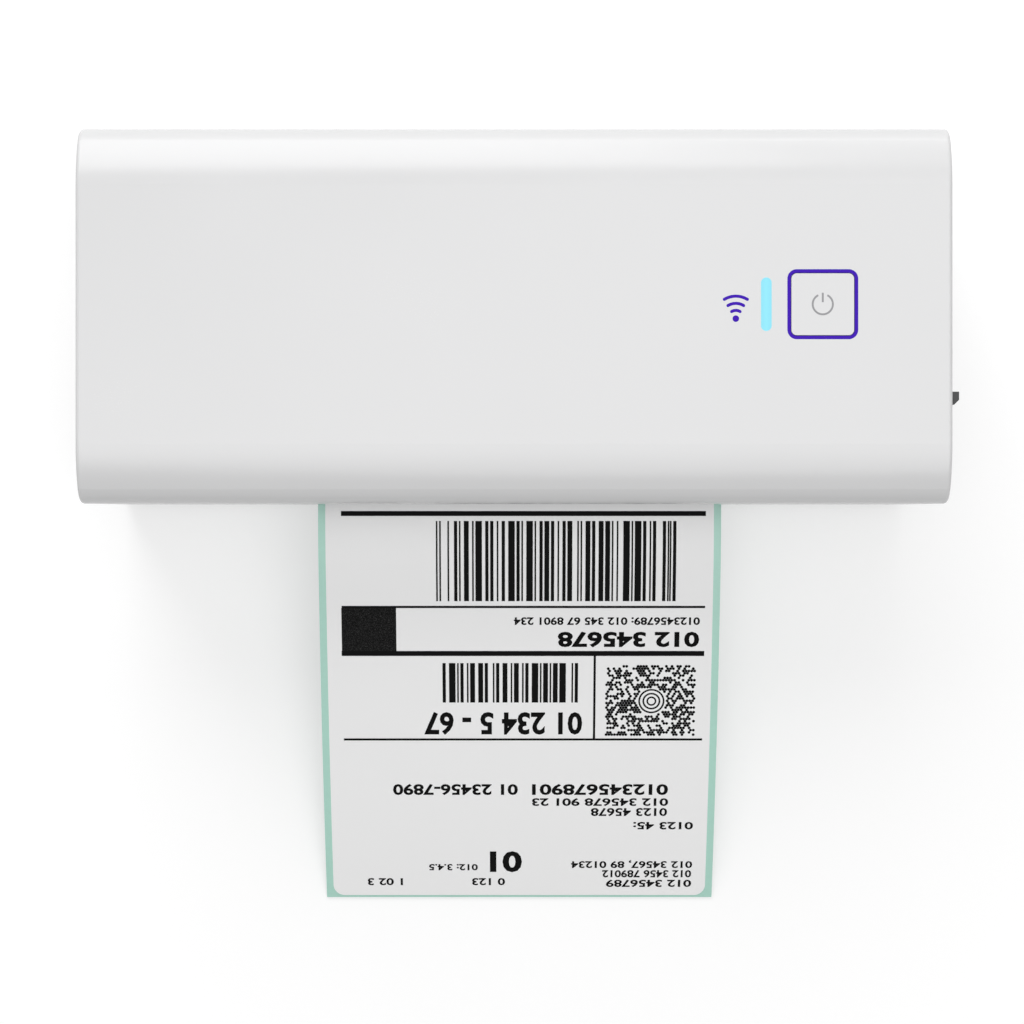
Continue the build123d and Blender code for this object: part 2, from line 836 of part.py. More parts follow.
def rack(side, x0, x1):
    """A toothed bar along X, in mesh with the guide pinion."""
    y_pitch = pinion_y + side * guide_pitch
    pitch = math.pi * guide_module
    lean = math.tan(math.radians(gear_pressure_angle))
    half = pitch / 4 - gear_backlash / 2
    top = 0.9 * guide_module
    foot = 1.2 * guide_module
    y_back = y_pitch + side * rack_back
    y_root = y_pitch + side * foot
    bar = block(x0, x1, min(y_root, y_back), max(y_root, y_back), rack_top - rack_height, rack_top)
    offset = 0.0 if side > 0 else 0.5
    first = math.ceil((x0 + rack_end_margin - path_x) / pitch - offset)
    last = math.floor((x1 - rack_end_margin - path_x) / pitch - offset)
    for index in range(first, last + 1):
        x = path_x + (index + offset) * pitch
        wide = half + foot * lean
        narrow = half - top * lean
        points = [
            (x - wide, y_root + side * lap),
            (x - wide, y_root),
            (x - narrow, y_pitch - side * top),
            (x + narrow, y_pitch - side * top),
            (x + wide, y_root),
            (x + wide, y_root + side * lap),
        ]
        tooth = make_face(Wire(Polyline(*points, close=True).edges()))
        bar += extrude(Pos(0, 0, rack_top - rack_height) * tooth, rack_height, dir=(0, 0, 1))
    return bar


def label_guide(side):
    """One guide: fence and foot on the deck, stem through the slot, rack below."""
    low = deck_top + slip
    inner = fence_x
    outer = fence_x + fence_thickness

    def span(a, b):
        return sorted((path_x + side * a, path_x + side * b))

    y0 = front + fence_front
    y1 = front + fence_rear
    shape = block(*span(inner, outer), y0, y1, low, deck_top + fence_height)
    shape += block(*span(inner, inner + guide_foot_width), y0, y1, low, low + guide_foot_thickness)
    y = rack_centre(side)
    stem = span(outer, outer + stem_length)
    shape += block(*stem, y - stem_width / 2, y + stem_width / 2, rack_top - lap, low + lap)
    shape += rack(side, *span(outer + stem_length, -rack_overrun))
    return shape


def guide_pinion():
    """The small gear that makes the two guides move together."""
    low = guide_pinion_top - guide_pinion_width
    outline = Pos(path_x, pinion_y, low) * gear_outline(guide_module, guide_pinion_teeth, -math.pi / 2)
    gear = extrude(outline, guide_pinion_width, dir=(0, 0, 1))
    return gear - rod_z(path_x, pinion_y, low - past, guide_pinion_top + past, pinion_post_radius + running)


def guide_pinion_screw():
    """The screw whose wide head keeps the pinion on its post."""
    low = pinion_post_low - pinion_screw_head_height
    head = rod_z(path_x, pinion_y, low, pinion_post_low, pinion_screw_head_radius)
    reach = pinion_screw_slot_length / 2
    narrow = pinion_screw_slot_width / 2
    head -= block(path_x - reach, path_x + reach, pinion_y - narrow, pinion_y + narrow,
                  low - past, low + pinion_screw_slot_depth)
    return head + rod_z(path_x, pinion_y, pinion_post_low, pinion_post_low + small_screw_length - lap,
                        small_screw_radius)


# Platen drive

def platen_shaft():
    """The steel shaft of the platen, in its bushes, carrying the gear at its right end."""
    left = path_x - cheek_outer - platen_shaft_overhang
    right = inner_gear_x + inner_gear_width
    return rod_x(left, right, platen_y, platen_z, platen_shaft_radius)


def platen_rubber():
    """The rubber sleeve that feeds the label."""
    left = path_x - platen_half_width
    right = path_x + platen_half_width
    sleeve = rod_x(left, right, platen_y, platen_z, platen_radius)
    return sleeve - rod_x(left - past, right + past, platen_y, platen_z, platen_shaft_radius)


def platen_bushes():
    """A flanged plastic bush in each cheek."""
    bushes = []
    for side in (-1, 1):
        x0, x1 = sorted((path_x + side * cheek_inner, path_x + side * cheek_outer))
        bush = rod_x(x0, x1, platen_y, platen_z, bush_radius)
        flange = sorted((path_x + side * cheek_inner, path_x + side * (cheek_inner - bush_flange_thickness)))
        bush += rod_x(*flange, platen_y, platen_z, bush_flange_radius)
        bushes.append(bush - rod_x(x0 - past, x1 + past, platen_y, platen_z, platen_shaft_radius + running))
    return bushes


def idler_turn():
    """The idler's tooth that points at the platen gear."""
    return toward(idler_y, idler_z, platen_y, platen_z)


def platen_gear():
    """The gear on the platen's shaft."""
    turn = toward(platen_y, platen_z, idler_y, idler_z) + tooth_gap(platen_gear_teeth)
    gear = gear_x(drive_module, platen_gear_teeth, turn, inner_gear_x, inner_gear_width, platen_y, platen_z)
    ends = (inner_gear_x - past, inner_gear_x + inner_gear_width + past)
    return gear - rod_x(*ends, platen_y, platen_z, platen_shaft_radius)


def idler_gear():
    """The double gear between motor and platen."""
    small_width = inner_gear_width + gear_plane_gap
    small = gear_x(drive_module, idler_small_teeth, idler_turn(), inner_gear_x, small_width, idler_y, idler_z)
    turn = toward(idler_y, idler_z, motor_y, motor_height)
    large = gear_x(fine_module, idler_large_teeth, turn, outer_gear_x, outer_gear_width, idler_y, idler_z)
    ends = (inner_gear_x - past, outer_gear_x + outer_gear_width + past)
    return small + large - rod_x(*ends, idler_y, idler_z, idler_stud_radius + running)


def motor_pinion():
    """The pinion on the motor's shaft."""
    turn = toward(motor_y, motor_height, idler_y, idler_z) + tooth_gap(pinion_teeth)
    gear = gear_x(fine_module, pinion_teeth, turn, outer_gear_x - slip, outer_gear_width + 2 * slip,
                  motor_y, motor_height)
    ends = (outer_gear_x - past, outer_gear_x + outer_gear_width + past)
    return gear - rod_x(*ends, motor_y, motor_height, motor_shaft_radius)


def motor_shaft():
    """The motor's turning shaft, from inside its front boss to the pinion's far face."""
    left = path_x + cheek_outer - motor_length / 2
    right = outer_gear_x + outer_gear_width + slip
    return rod_x(left, right, motor_y, motor_height, motor_shaft_radius)


def stepper_motor():
    """The motor's can, with its front boss in the bracket."""
    right = path_x + cheek_outer
    can = rod_x(right - motor_length, right, motor_y, motor_height, motor_radius)
    rims = can.edges().filter_by(GeomType.CIRCLE).sort_by(Axis.X)
    can = fillet(rims[0], motor_edge_radius)
    can += rod_x(right - lap, right + motor_boss_height, motor_y, motor_height, motor_boss_radius)
    plug_x = right - motor_length + motor_plug_setback
    half = motor_plug_height / 2
    edge = motor_y + motor_radius
    can += block(plug_x, plug_x + motor_plug_width, edge - motor_plug_reach, edge + motor_plug_reach,
                 motor_height - half, motor_height + half)
    bore_start = right - motor_length / 2 - slip
    return can - rod_x(bore_start, right + 2 * motor_boss_height, motor_y, motor_height,
                       motor_shaft_radius + running)


def bracket_screw_places():
    """Two screws that hold the gear bracket to the right cheek."""
    z = cheek_low + bracket_screw_inset
    reach = cheek_reach - bracket_screw_inset
    return [(platen_y - reach, z), (platen_y + reach, z)]


def gear_bracket():
    """The steel plate that carries motor and idler."""
    x0 = path_x + cheek_outer
    x1 = path_x + bracket_outer
    y1 = motor_y + motor_radius + bracket_margin
    plate = block(x0, x1, platen_y - cheek_reach, y1, floor_top + slip, deck_low - slip)
    through = (x0 - past, x1 + past)
    plate -= rod_x(*through, platen_y, platen_z, platen_shaft_radius + bracket_margin)
    plate -= rod_x(*through, idler_y, idler_z, idler_stud_radius)
    plate -= rod_x(*through, motor_y, motor_height, motor_boss_radius)
    for y, z in bracket_screw_places():
        plate -= rod_x(*through, y, z, small_screw_radius)
    return plate


def bracket_screws():
    """Two small screws through the bracket into the cheek."""
    made = []
    for y, z in bracket_screw_places():
        x = path_x + bracket_outer
        body = rod_x(path_x + cheek_inner, x, y, z, small_screw_radius)
        made.append(body + rod_x(x, x + inner_gear_gap - slip, y, z, small_screw_head_radius))
    return made


def idler_stud():
    """The fixed pin that the idler turns on, pressed into the bracket."""
    end = outer_gear_x + outer_gear_width + idler_stud_overrun
    stud = rod_x(path_x + cheek_outer, end, idler_y, idler_z, idler_stud_radius)
    groove = rod_x(clip_at, clip_at + clip_thickness, idler_y, idler_z, idler_stud_radius + past)
    return stud - (groove - rod_x(clip_at - past, clip_at + past, idler_y, idler_z, clip_bore()))


def clip_bore():
    """The radius that the clip grips, at the bottom of the stud's groove."""
    return idler_stud_radius - clip_groove_depth


def idler_clip():
    """The open ring that keeps the idler on its stud."""
    through = (clip_at - past, clip_at + clip_thickness + past)
    ring = rod_x(clip_at, clip_at + clip_thickness, idler_y, idler_z, clip_radius)
    ring -= rod_x(*through, idler_y, idler_z, clip_bore())
    half = clip_mouth / 2
    return ring - block(*through, idler_y - half, idler_y + half, idler_z - 2 * clip_radius, idler_z)


# Electronics in the base

def gap_sensor():
    """The optical sensor that looks for the gaps between labels through the deck."""
    y = front + sensor_setback
    half = sensor_size / 2
    case = block(path_x - half, path_x + half, y - half, y + half, deck_low - sensor_height, deck_low)
    return case + rod_z(path_x, y, deck_low - lap, deck_top - slip, sensor_window_radius)


def main_board():
    """The main circuit board with its larger chips."""
    board = block(board_left, board_right, front + board_front, front + board_rear, board_low, board_top)
    for x, y in board_hole_places():
        board -= rod_z(x, y, board_low - past, board_top + past, case_screw_radius)
    chips = (
        (processor_x, processor_size, processor_size, processor_height),
        (memory_x, memory_size, memory_size, memory_height),
        (driver_x, driver_width, driver_depth, processor_height),
    )
    y = front + chip_row_setback
    for place, width, depth, height in chips:
        x = board_left + place
        board += block(x - width / 2, x + width / 2, y - depth / 2, y + depth / 2, board_low, board_top + height)
    for place in (capacitor_x, capacitor_x + capacitor_spacing):
        y = front + capacitor_setback
        board += rod_z(board_left + place, y, board_low, board_top + capacitor_height, capacitor_radius)
    x = board_left + header_x
    y = front + header_setback
    board += block(x, x + header_width, y, y + header_depth, board_low, board_top + header_height)
    return board


def radio_module():
    """The screened radio module on the main board."""
    x1 = board_right - radio_inset
    y1 = front + board_rear - radio_rear_inset
    can = block(x1 - radio_width, x1, y1 - radio_depth, y1, board_top, board_top + radio_height)
    return fillet(can.edges().filter_by(Axis.Z), radio_corner)


def power_inlet():
    """The barrel socket for the power supply's plug, with its centre contact."""
    y1 = rear - socket_recess
    half = inlet_width / 2
    z = board_top + inlet_height / 2
    case = block(inlet_x - half, inlet_x + half, y1 - inlet_length, y1, board_top, board_top + inlet_height)
    floor = y1 - inlet_bore_depth
    case -= rod_y(inlet_x, floor, y1 + past, z, inlet_bore_radius)
    return case + rod_y(inlet_x, floor - lap, y1 - inlet_contact_recess, z, inlet_contact_radius)


def data_socket():
    """The square data socket with its tongue."""
    y1 = rear - socket_recess
    half = data_width / 2
    z0 = board_top
    z1 = board_top + data_height
    case = block(data_x - half, data_x + half, y1 - data_length, y1, z0, z1)
    inner = half - data_shell
    floor = y1 - data_depth
    case -= block(data_x - inner, data_x + inner, floor, y1 + past, z0 + data_shell, z1 - data_shell)
    middle = (z0 + z1) / 2
    tongue = data_tongue_height / 2
    reach = data_tongue_width / 2
    return case + block(data_x - reach, data_x + reach, floor - lap, y1 - data_tongue_recess,
                        middle - tongue, middle + tongue)


# Inner frame of the cover

def spring_places():
    """The X of the springs that press the print head down."""
    return [path_x + step * spring_spacing for step in (-1, 0, 1)]


def lid_frame():
    """The dark frame inside the cover: panel, head window, legs, spring bridge and latch bearings."""
    x = half_width - wall - slip
    y0 = front + wall + tear_bar_thickness + slip
    panel = block(-x, x, y0, front + lid_panel_rear, lid_panel_low, lid_panel_top)
    leg_inner = head_half_width + head_bracket_lap + slip
    through = (lid_panel_low - past, lid_panel_top + past)
    y0 = front + head_window_front
    y1 = front + head_window_rear
    panel -= block(path_x - leg_inner, path_x + leg_inner, y0, y1, *through)
    leg_front = front + bridge_front
    leg_rear = latch_y + latch_hub_radius
    for side in (-1, 1):
        x0, x1 = sorted((path_x + side * leg_inner, path_x + side * (leg_inner + leg_thickness)))
        panel += block(x0, x1, leg_front, leg_rear, lid_panel_top - lap, leg_top)
        panel -= hook_window(side * hook_x, lid_panel_low, lid_panel_top)
    rib_half = latch_hub_radius + outer_rib_margin
    panel += block(outer_rib_x, outer_rib_x + outer_rib_thickness, latch_y - rib_half, latch_y + rib_half,
                   lid_panel_top - lap, leg_top)
    bridge_x = leg_inner + leg_thickness / 2
    panel += block(path_x - bridge_x, path_x + bridge_x, leg_front, front + bridge_rear,
                   bridge_low, bridge_low + bridge_thickness)
    cup_low = bridge_low - spring_cup_depth
    for spring_x in spring_places():
        cup = rod_z(spring_x, platen_y, cup_low, bridge_low + lap, spring_radius + slip + spring_cup_wall)
        panel += cup - rod_z(spring_x, platen_y, cup_low - past, bridge_low, spring_radius + slip)
    panel -= rod_x(-half_width, half_width, latch_y, latch_height, latch_shaft_radius + running)
    for side in (-1, 1):
        for setback in (lid_boss_front, lid_boss_rear):
            panel -= rod_z(side * lid_boss_x, front + setback, *through, case_screw_radius + slip)
    return panel


def tear_bar():
    """The toothed steel strip behind the cover's front edge that the label is torn against."""
    y0 = front + wall
    y1 = y0 + tear_bar_thickness
    low = exit_slot_high + tear_bar_lift
    x0 = path_x - slot_half_width + tear_bar_inset
    x1 = path_x + slot_half_width - tear_bar_inset
    count = int((x1 - x0) / tear_tooth_pitch)
    points = [(x0, low + tear_bar_height)]
    points.append((x0, low + tear_tooth_height))
    for index in range(count):
        x = x0 + index * tear_tooth_pitch
        points.append((x + tear_tooth_pitch / 2, low))
        points.append((x + tear_tooth_pitch, low + tear_tooth_height))
    points.append((x0 + count * tear_tooth_pitch, low + tear_bar_height))
    outline = make_face(Wire(Polyline(*points, close=True).edges()))
    placed = Plane((0, y1, 0), x_dir=(1, 0, 0), z_dir=(0, -1, 0)) * outline
    return extrude(placed, tear_bar_thickness, dir=(0, -1, 0))


# Print head

def head_block(x_half, depth, z0, z1):
    """A bar of the print head, centred over the platen."""
    return block(path_x - x_half, path_x + x_half, platen_y - depth / 2, platen_y + depth / 2, z0, z1)


def heat_sink_offset():
    """How far the heat sink's middle lies behind the platen's axis."""
    return front + (head_window_front + head_window_rear) / 2 - platen_y


def head_ceramic():
    """The ceramic strip whose heater line marks the label."""
    strip = head_block(head_half_width - ceramic_inset, ceramic_depth, head_low, ceramic_top)
    return fillet(strip.edges().filter_by(Axis.X).sort_by(Axis.Z)[:2], ceramic_thickness / 2)


def head_heat_sink():
    """The grooved aluminium bar that the ceramic strip is bonded to."""
    bar = Pos(0, heat_sink_offset(), 0) * head_block(head_half_width, heat_sink_depth, ceramic_top, heat_sink_top)
    groove_y = platen_y + heat_sink_offset() + heat_sink_depth / 2
    for level in (0.3, 0.65):
        z = ceramic_top + level * heat_sink_height
        reach = head_half_width + past
        bar -= block(path_x - reach, path_x + reach, groove_y - heat_sink_groove, groove_y + past,
                     z, z + heat_sink_groove / 2)
    return bar


def head_bracket():
    """The steel plate over the heat sink, whose edges lap the frame and stop it falling out."""
    depth = head_window_rear - head_window_front + 2 * head_bracket_lap
    half = head_half_width + head_bracket_lap
    plate = Pos(0, heat_sink_offset(), 0) * head_block(half, depth, heat_sink_top, head_bracket_top)
    return fillet(plate.edges().filter_by(Axis.Z), head_bracket_lap)


def tube_z(x, y, z0, z1, outer, inner):
    """A plain upright tube."""
    return rod_z(x, y, z0, z1, outer) - rod_z(x, y, z0 - past, z1 + past, inner)


def head_springs():
    """Three springs between the bracket and the bridge of the frame."""
    top = bridge_low - spring_end_gap
    return [
        tube_z(x, platen_y, head_bracket_top, top, spring_radius, spring_radius - spring_wire)
        for x in spring_places()
    ]


# Latch

def latch_shaft():
    """The cross shaft that joins both hooks and the lever."""
    left = -hook_x - hook_width / 2 - latch_shaft_overhang
    right = half_width - wall - slip
    return rod_x(left, right, latch_y, latch_height, latch_shaft_radius)


def latch_hook(x):
    """One hook: hub on the shaft, arm down in front of the strike pin, nose under it."""
    x0 = x - hook_width / 2
    x1 = x + hook_width / 2
    nose_top = strike_z - strike_radius - slip
    nose_low = nose_top - hook_nose_thickness
    arm_rear = latch_y - strike_radius - slip
    hook = rod_x(x0, x1, latch_y, latch_height, latch_hub_radius)
    hook += block(x0, x1, arm_rear - hook_arm_depth, arm_rear, nose_low, latch_height)
    hook += block(x0, x1, arm_rear - lap, latch_y + hook_nose_reach, nose_low, nose_top)
    return hook - rod_x(x0 - past, x1 + past, latch_y, latch_height, latch_shaft_radius)


def release_lever():
    """The lever on the right end: hub, arm inside the end wall, neck through it, rib outside."""
    x1 = half_width - wall - slip
    x0 = x1 - lever_arm_width
    rib_y0 = front + lever_rib_front
    rib_y1 = rib_y0 + lever_rib_depth
    rib_x0 = half_width + slip
    rib_x1 = half_width + lever_rib_reach
    rib = block(rib_x0, rib_x1, rib_y0, rib_y1, lever_rib_low, lever_rib_high)
    outer_front = rib.edges().filter_by(Axis.Z).group_by(Axis.X)[-1].sort_by(Axis.Y)[0]
    rib = chamfer(outer_front, lever_chamfer)
    neck_y0 = rib_y0 + (lever_rib_depth - lever_neck_depth) / 2
    lever = rod_x(x0, x1, latch_y, latch_height, latch_hub_radius)
    lever += block(x0, x1, rib_y0, latch_y + strike_radius, latch_height, lever_neck_high)
    neck_y1 = neck_y0 + lever_neck_depth
    lever += block(x1 - lap, rib_x0 + lap, neck_y0, neck_y1, lever_neck_low, lever_neck_high)
    lever += rib
    return lever - rod_x(x0 - past, x1 + past, latch_y, latch_height, latch_shaft_radius)


def latch_spring():
    """The coil round the shaft that returns the hooks."""
    x1 = latch_spring_x + latch_spring_length
    coil = rod_x(latch_spring_x, x1, latch_y, latch_height, latch_spring_radius)
    inner = latch_spring_radius - latch_spring_wire
    return coil - rod_x(latch_spring_x - past, x1 + past, latch_y, latch_height, inner)


def strike_pins():
    """The steel pins in the base that the hooks catch."""
    reach = strike_pin_reach
    return [rod_x(s * hook_x - reach, s * hook_x + reach, latch_y, strike_z, strike_radius) for s in (-1, 1)]


def hinge_pins():
    """A steel pin through each knuckle and its two ears."""
    half = knuckle_width / 2 + slip + hinge_ear_width
    return [rod_x(s * hinge_x - half, s * hinge_x + half, hinge_y, hinge_z, hinge_pin_radius) for s in (-1, 1)]


# Controls

def button_ring():
    """The coloured trim ring round the power button."""
    ring = rounded_block(button_x, button_y, ring_width, ring_depth, ring_corner, lid_ceiling, body_height)
    inner = ring_corner - ring_stroke
    return ring - rounded_block(button_x, button_y, ring_width - 2 * ring_stroke, ring_depth - 2 * ring_stroke,
                                inner, lid_ceiling - past, body_height + past)


def power_button():
    """The button's cap, with a flange that holds it under the ring and a stem below."""
    shrink = 2 * (ring_stroke + button_gap)
    width = ring_width - shrink
    depth = ring_depth - shrink
    corner = ring_corner - ring_stroke - button_gap
    flange_top = lid_ceiling - slip
    flange_low = flange_top - button_flange_thickness
    cap = rounded_block(button_x, button_y, width, depth, corner, flange_low, button_top)
    grow = 2 * button_flange_lap
    cap += rounded_block(button_x, button_y, width + grow, depth + grow, corner, flange_low, flange_top)
    return cap + rod_z(button_x, button_y, switch_stem_top(), flange_low + lap, stem_radius)


def switch_stem_top():
    """The height where the button's stem meets the switch's own stem."""
    return control_board_top + switch_height + button_travel + slip / 2


def switch_stem():
    """The moving stem of the switch, which travels with the button."""
    top = switch_stem_top()
    return rod_z(button_x, button_y, top - switch_stem_length, top, switch_stem_radius)


def power_switch():
    """The switch body on the control board."""
    half = switch_size / 2
    top = control_board_top + switch_height
    case = block(button_x - half, button_x + half, button_y - half, button_y + half, control_board_top, top)
    floor = switch_stem_top() - switch_stem_length - button_travel - slip
    return case - rod_z(button_x, button_y, floor, top + past, switch_bore_radius)


def status_light_lens():
    """The light bar's lens, with a flange under the cover's top."""
    lens = light_slot(0, lid_ceiling - light_flange_thickness, body_height)
    return lens + light_slot(light_flange, lid_ceiling - light_flange_thickness, lid_ceiling)


def control_board():
    """The small board under the button and the light."""
    board = block(control_board_left, control_board_right, front + control_board_front, front + control_board_rear,
                  control_board_height, control_board_top)
    for x, y in control_boss_places():
        board -= rod_z(x, y, control_board_height - past, control_board_top + past, small_screw_radius + slip / 2)
    return board


def control_board_screws():
    """Four small screws up into the posts of the cover."""
    made = []
    for x, y in control_boss_places():
        shank = rod_z(x, y, control_board_height, control_board_top + small_screw_length, small_screw_radius)
        head_low = control_board_height - small_screw_head_height
        made.append(shank + rod_z(x, y, head_low, control_board_height, small_screw_head_radius))
    return made


def status_leds():
    """Three lamps in a row under the light bar."""
    step = light_length / 3
    half = led_size / 2
    return [
        block(light_x - half, light_x + half, button_y + i * step - half, button_y + i * step + half,
              control_board_top, control_board_top + led_height)
        for i in (-1, 0, 1)
    ]


# Label

def label_sheet(low, high, tail, tip_angle):
    """The label path's section between two offsets above it, from tail to the angle tip_angle."""
    bend_y = front - exit_run
    bend_z = path_height - exit_bend_radius
    drop_y = bend_y + (drop_bend_radius - exit_bend_radius) * math.sin(exit_turn)
    drop_z = bend_z - (drop_bend_radius - exit_bend_radius) * math.cos(exit_turn)

    def bend(angle, offset):
        radius = exit_bend_radius + offset
        return bend_y - radius * math.sin(angle), bend_z + radius * math.cos(angle)

    def drop(angle, offset):
        radius = drop_bend_radius + offset
        return drop_y - radius * math.sin(angle), drop_z + radius * math.cos(angle)

    middle = (exit_turn + tip_angle) / 2
    edges = []
    for offset in (low, high):
        height = path_height + offset
        edges.append(Line((tail, height), (bend_y, height)))
        edges.append(ThreePointArc(bend(0, offset), bend(exit_turn / 2, offset), bend(exit_turn, offset)))
        edges.append(ThreePointArc(drop(exit_turn, offset), drop(middle, offset), drop(tip_angle, offset)))
    edges.append(Line((tail, path_height + low), (tail, path_height + high)))
    edges.append(Line(drop(tip_angle, low), drop(tip_angle, high)))
    return make_face(Wire(edges))


def path_length_outside():
    """The liner's length from the front wall to its tip."""
    return exit_run + exit_bend_radius * exit_turn + drop_bend_radius * (tip_turn - exit_turn)


def label_tail():
    """The Y of the printed label's end inside the printer."""
    return front + label_length + liner_margin - path_length_outside()


def label_liner():
    """The backing strip under the label."""
    half = liner_width / 2
    outline = label_sheet(0, liner_thickness, label_tail() + liner_behind_label, tip_turn)
    return along_x(outline, path_x - half, path_x + half)


def printed_label():
    """The label itself, with rounded corners."""
    half = label_width / 2
    tip = tip_turn - liner_margin / drop_bend_radius
    outline = label_sheet(label_low, label_low + label_thickness, label_tail(), tip)
    sheet = along_x(outline, path_x - half, path_x + half)
    bounds = sheet.bounding_box()
    depth = bounds.max.Y - bounds.min.Y
    middle = (bounds.max.Y + bounds.min.Y) / 2
    return sheet & rounded_block(path_x, middle, label_width, depth, label_corner, -past, label_top + past)


def main():
    os.makedirs("parts", exist_ok=True)
    save("base_housing", base_housing())
    save("bottom_cover", bottom_cover())
    save("rubber_feet", *rubber_feet())
    floor_seat = foot_lift + case_screw_head_height
    save("bottom_cover_screws", *[screw(x, y, floor_seat, case_screw_length, 1) for x, y in post_places()])
    save("deck", deck())
    save("deck_screws", *[screw(x, y, deck_top, case_screw_length, -1) for x, y in post_places()])
    save("left_guide", label_guide(-1))
    save("right_guide", label_guide(1))
    save("guide_pinion", guide_pinion())
    save("guide_pinion_screw", guide_pinion_screw())
    save("gap_sensor", gap_sensor())
    save("strike_pins", *strike_pins())
    save("platen_shaft", platen_shaft())
    save("platen_rubber", platen_rubber())
    save("platen_bushes", *platen_bushes())
    save("platen_gear", platen_gear())
    save("idler_gear", idler_gear())
    save("idler_stud", idler_stud())
    save("idler_clip", idler_clip())
    save("motor_pinion", motor_pinion())
    save("motor_shaft", motor_shaft())
    save("stepper_motor", stepper_motor())
    save("gear_bracket", gear_bracket())
    save("bracket_screws", *bracket_screws())
    save("main_board", main_board())
    save("main_board_screws", *[screw(x, y, board_top, board_screw_length, -1) for x, y in board_hole_places()])
    save("radio_module", radio_module())
    save("power_inlet", power_inlet())
    save("data_socket", data_socket())
    save("hinge_pins", *hinge_pins())
    save("top_cover", top_cover())
    save("lid_frame", lid_frame())
    lid_screw_places = [(s * lid_boss_x, front + b) for s in (-1, 1) for b in (lid_boss_front, lid_boss_rear)]
    save("lid_frame_screws", *[screw(x, y, lid_panel_low, case_screw_length, 1) for x, y in lid_screw_places])
    save("tear_bar", tear_bar())
    save("head_ceramic", head_ceramic())
    save("head_heat_sink", head_heat_sink())
    save("head_bracket", head_bracket())
    save("head_springs", *head_springs())
    save("latch_shaft", latch_shaft())
    save("latch_hook_left", latch_hook(-hook_x))
    save("latch_hook_right", latch_hook(hook_x))
    save("release_lever", release_lever())
    save("latch_spring", latch_spring())
    save("control_board", control_board())
    save("control_board_screws", *control_board_screws())
    save("power_switch", power_switch())
    save("status_leds", *status_leds())
    save("power_button", power_button())
    save("switch_stem", switch_stem())
    save("button_ring", button_ring())
    save("status_light_lens", status_light_lens())
    save("label_liner", label_liner())
    save("printed_label", printed_label())
    print("label reaches", round(label_reach, 2), "front", round(front, 2), "rear", round(rear, 2))


main()
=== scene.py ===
import math
import random

import bmesh
import bpy
from mathutils import Matrix, Vector


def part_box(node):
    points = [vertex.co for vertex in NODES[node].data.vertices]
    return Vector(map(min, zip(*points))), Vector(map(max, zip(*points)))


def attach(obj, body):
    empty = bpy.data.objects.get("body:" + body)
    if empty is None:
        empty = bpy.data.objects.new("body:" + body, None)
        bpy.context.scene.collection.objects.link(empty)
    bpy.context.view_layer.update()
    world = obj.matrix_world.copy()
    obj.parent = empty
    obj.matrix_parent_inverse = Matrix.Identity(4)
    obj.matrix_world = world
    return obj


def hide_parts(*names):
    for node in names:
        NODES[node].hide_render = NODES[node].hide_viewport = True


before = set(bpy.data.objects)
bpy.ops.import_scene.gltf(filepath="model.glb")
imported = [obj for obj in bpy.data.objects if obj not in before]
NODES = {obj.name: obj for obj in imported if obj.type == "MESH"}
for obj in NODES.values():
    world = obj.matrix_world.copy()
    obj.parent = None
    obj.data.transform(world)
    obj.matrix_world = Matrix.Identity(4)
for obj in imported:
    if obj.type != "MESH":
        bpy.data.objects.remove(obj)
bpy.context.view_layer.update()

bl_info = {
    "name": "Shipping Label Printer",
    "version": (1, 0, 0),
    "blender": (4, 5, 0),
    "location": "3D View > Sidebar > Printer",
    "description": "Finishes, label print, controls and studio for a label printer",
    "category": "Object",
}


def middle_of(node):
    """The middle of a CAD node's box."""
    low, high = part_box(node)
    return (low + high) / 2


MM = 0.001
CASE_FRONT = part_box("base_housing")[0].y
LABEL_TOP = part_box("printed_label")[1].z
LABEL_MIDDLE = middle_of("label_liner").x

# Small details inside, in metres
HEATER_HALF = 0.00035
BOARD_THICKNESS = 0.0016
CHIP_START = 0.0002
CAN_RADIUS = 0.00405
CAN_HEIGHT = 0.011
CAN_LID = 0.0004
CAN_PLACES = ((-0.026, 0.008), (-0.016, 0.008))
CONTACT_RADIUS = 0.00105
TONGUE_HALF = (0.00285, 0.00165)
LAMP_WINDOW = 0.0001

# Wound springs: wires in metres, whole turns, and the steps of a turn
HEAD_WIRE, HEAD_TURNS = 0.0006, 6
LATCH_WIRE, LATCH_TURNS = 0.00072, 5
WIRE_SIDES = 8
TURN_STEPS = 20
CLOSED_PITCH = 1.02
SORT_SLANT = Vector((1.0, 1.618, 2.718))

# How deep the grain of a surface goes, in metres
POLISHED = 0.000006
SMOOTH = 0.00001
SATIN = 0.00002
GRAINED = 0.00003
COARSE = 0.00005

# The label's marks: lengths in millimetres on the flat label, bars counted in modules
PRINT_STEP = 2.0
BAR_MODULE = 0.43
BAR_GROUP = 11
WIDEST_BAR = 4
DOT_PITCH = 0.75
DOT_RADIUS = 0.415
DOT_SIDES = 6
DOT_ROW_STEP = 0.87
DOT_SHARE = 0.56
CODE_RINGS = ((3.25, 0.45), (2.15, 0.45), (1.1, 0.42))

# How much digits are thickened, in their font's own units
SMALL, PLAIN, STRONG, BOLD = 0.026, 0.028, 0.03, 0.035

# The printed signs: lengths in metres, half angles in radians
SIGN_GAP = math.radians(27)
SIGN_BAR = (0.0005, 0.0028)
WAVE_DOT = 0.0008
WAVE_HALF = math.radians(31)
WAVE_RADII = (0.0020, 0.0037, 0.00545)
UPWARDS = math.pi / 2


# Shader maths

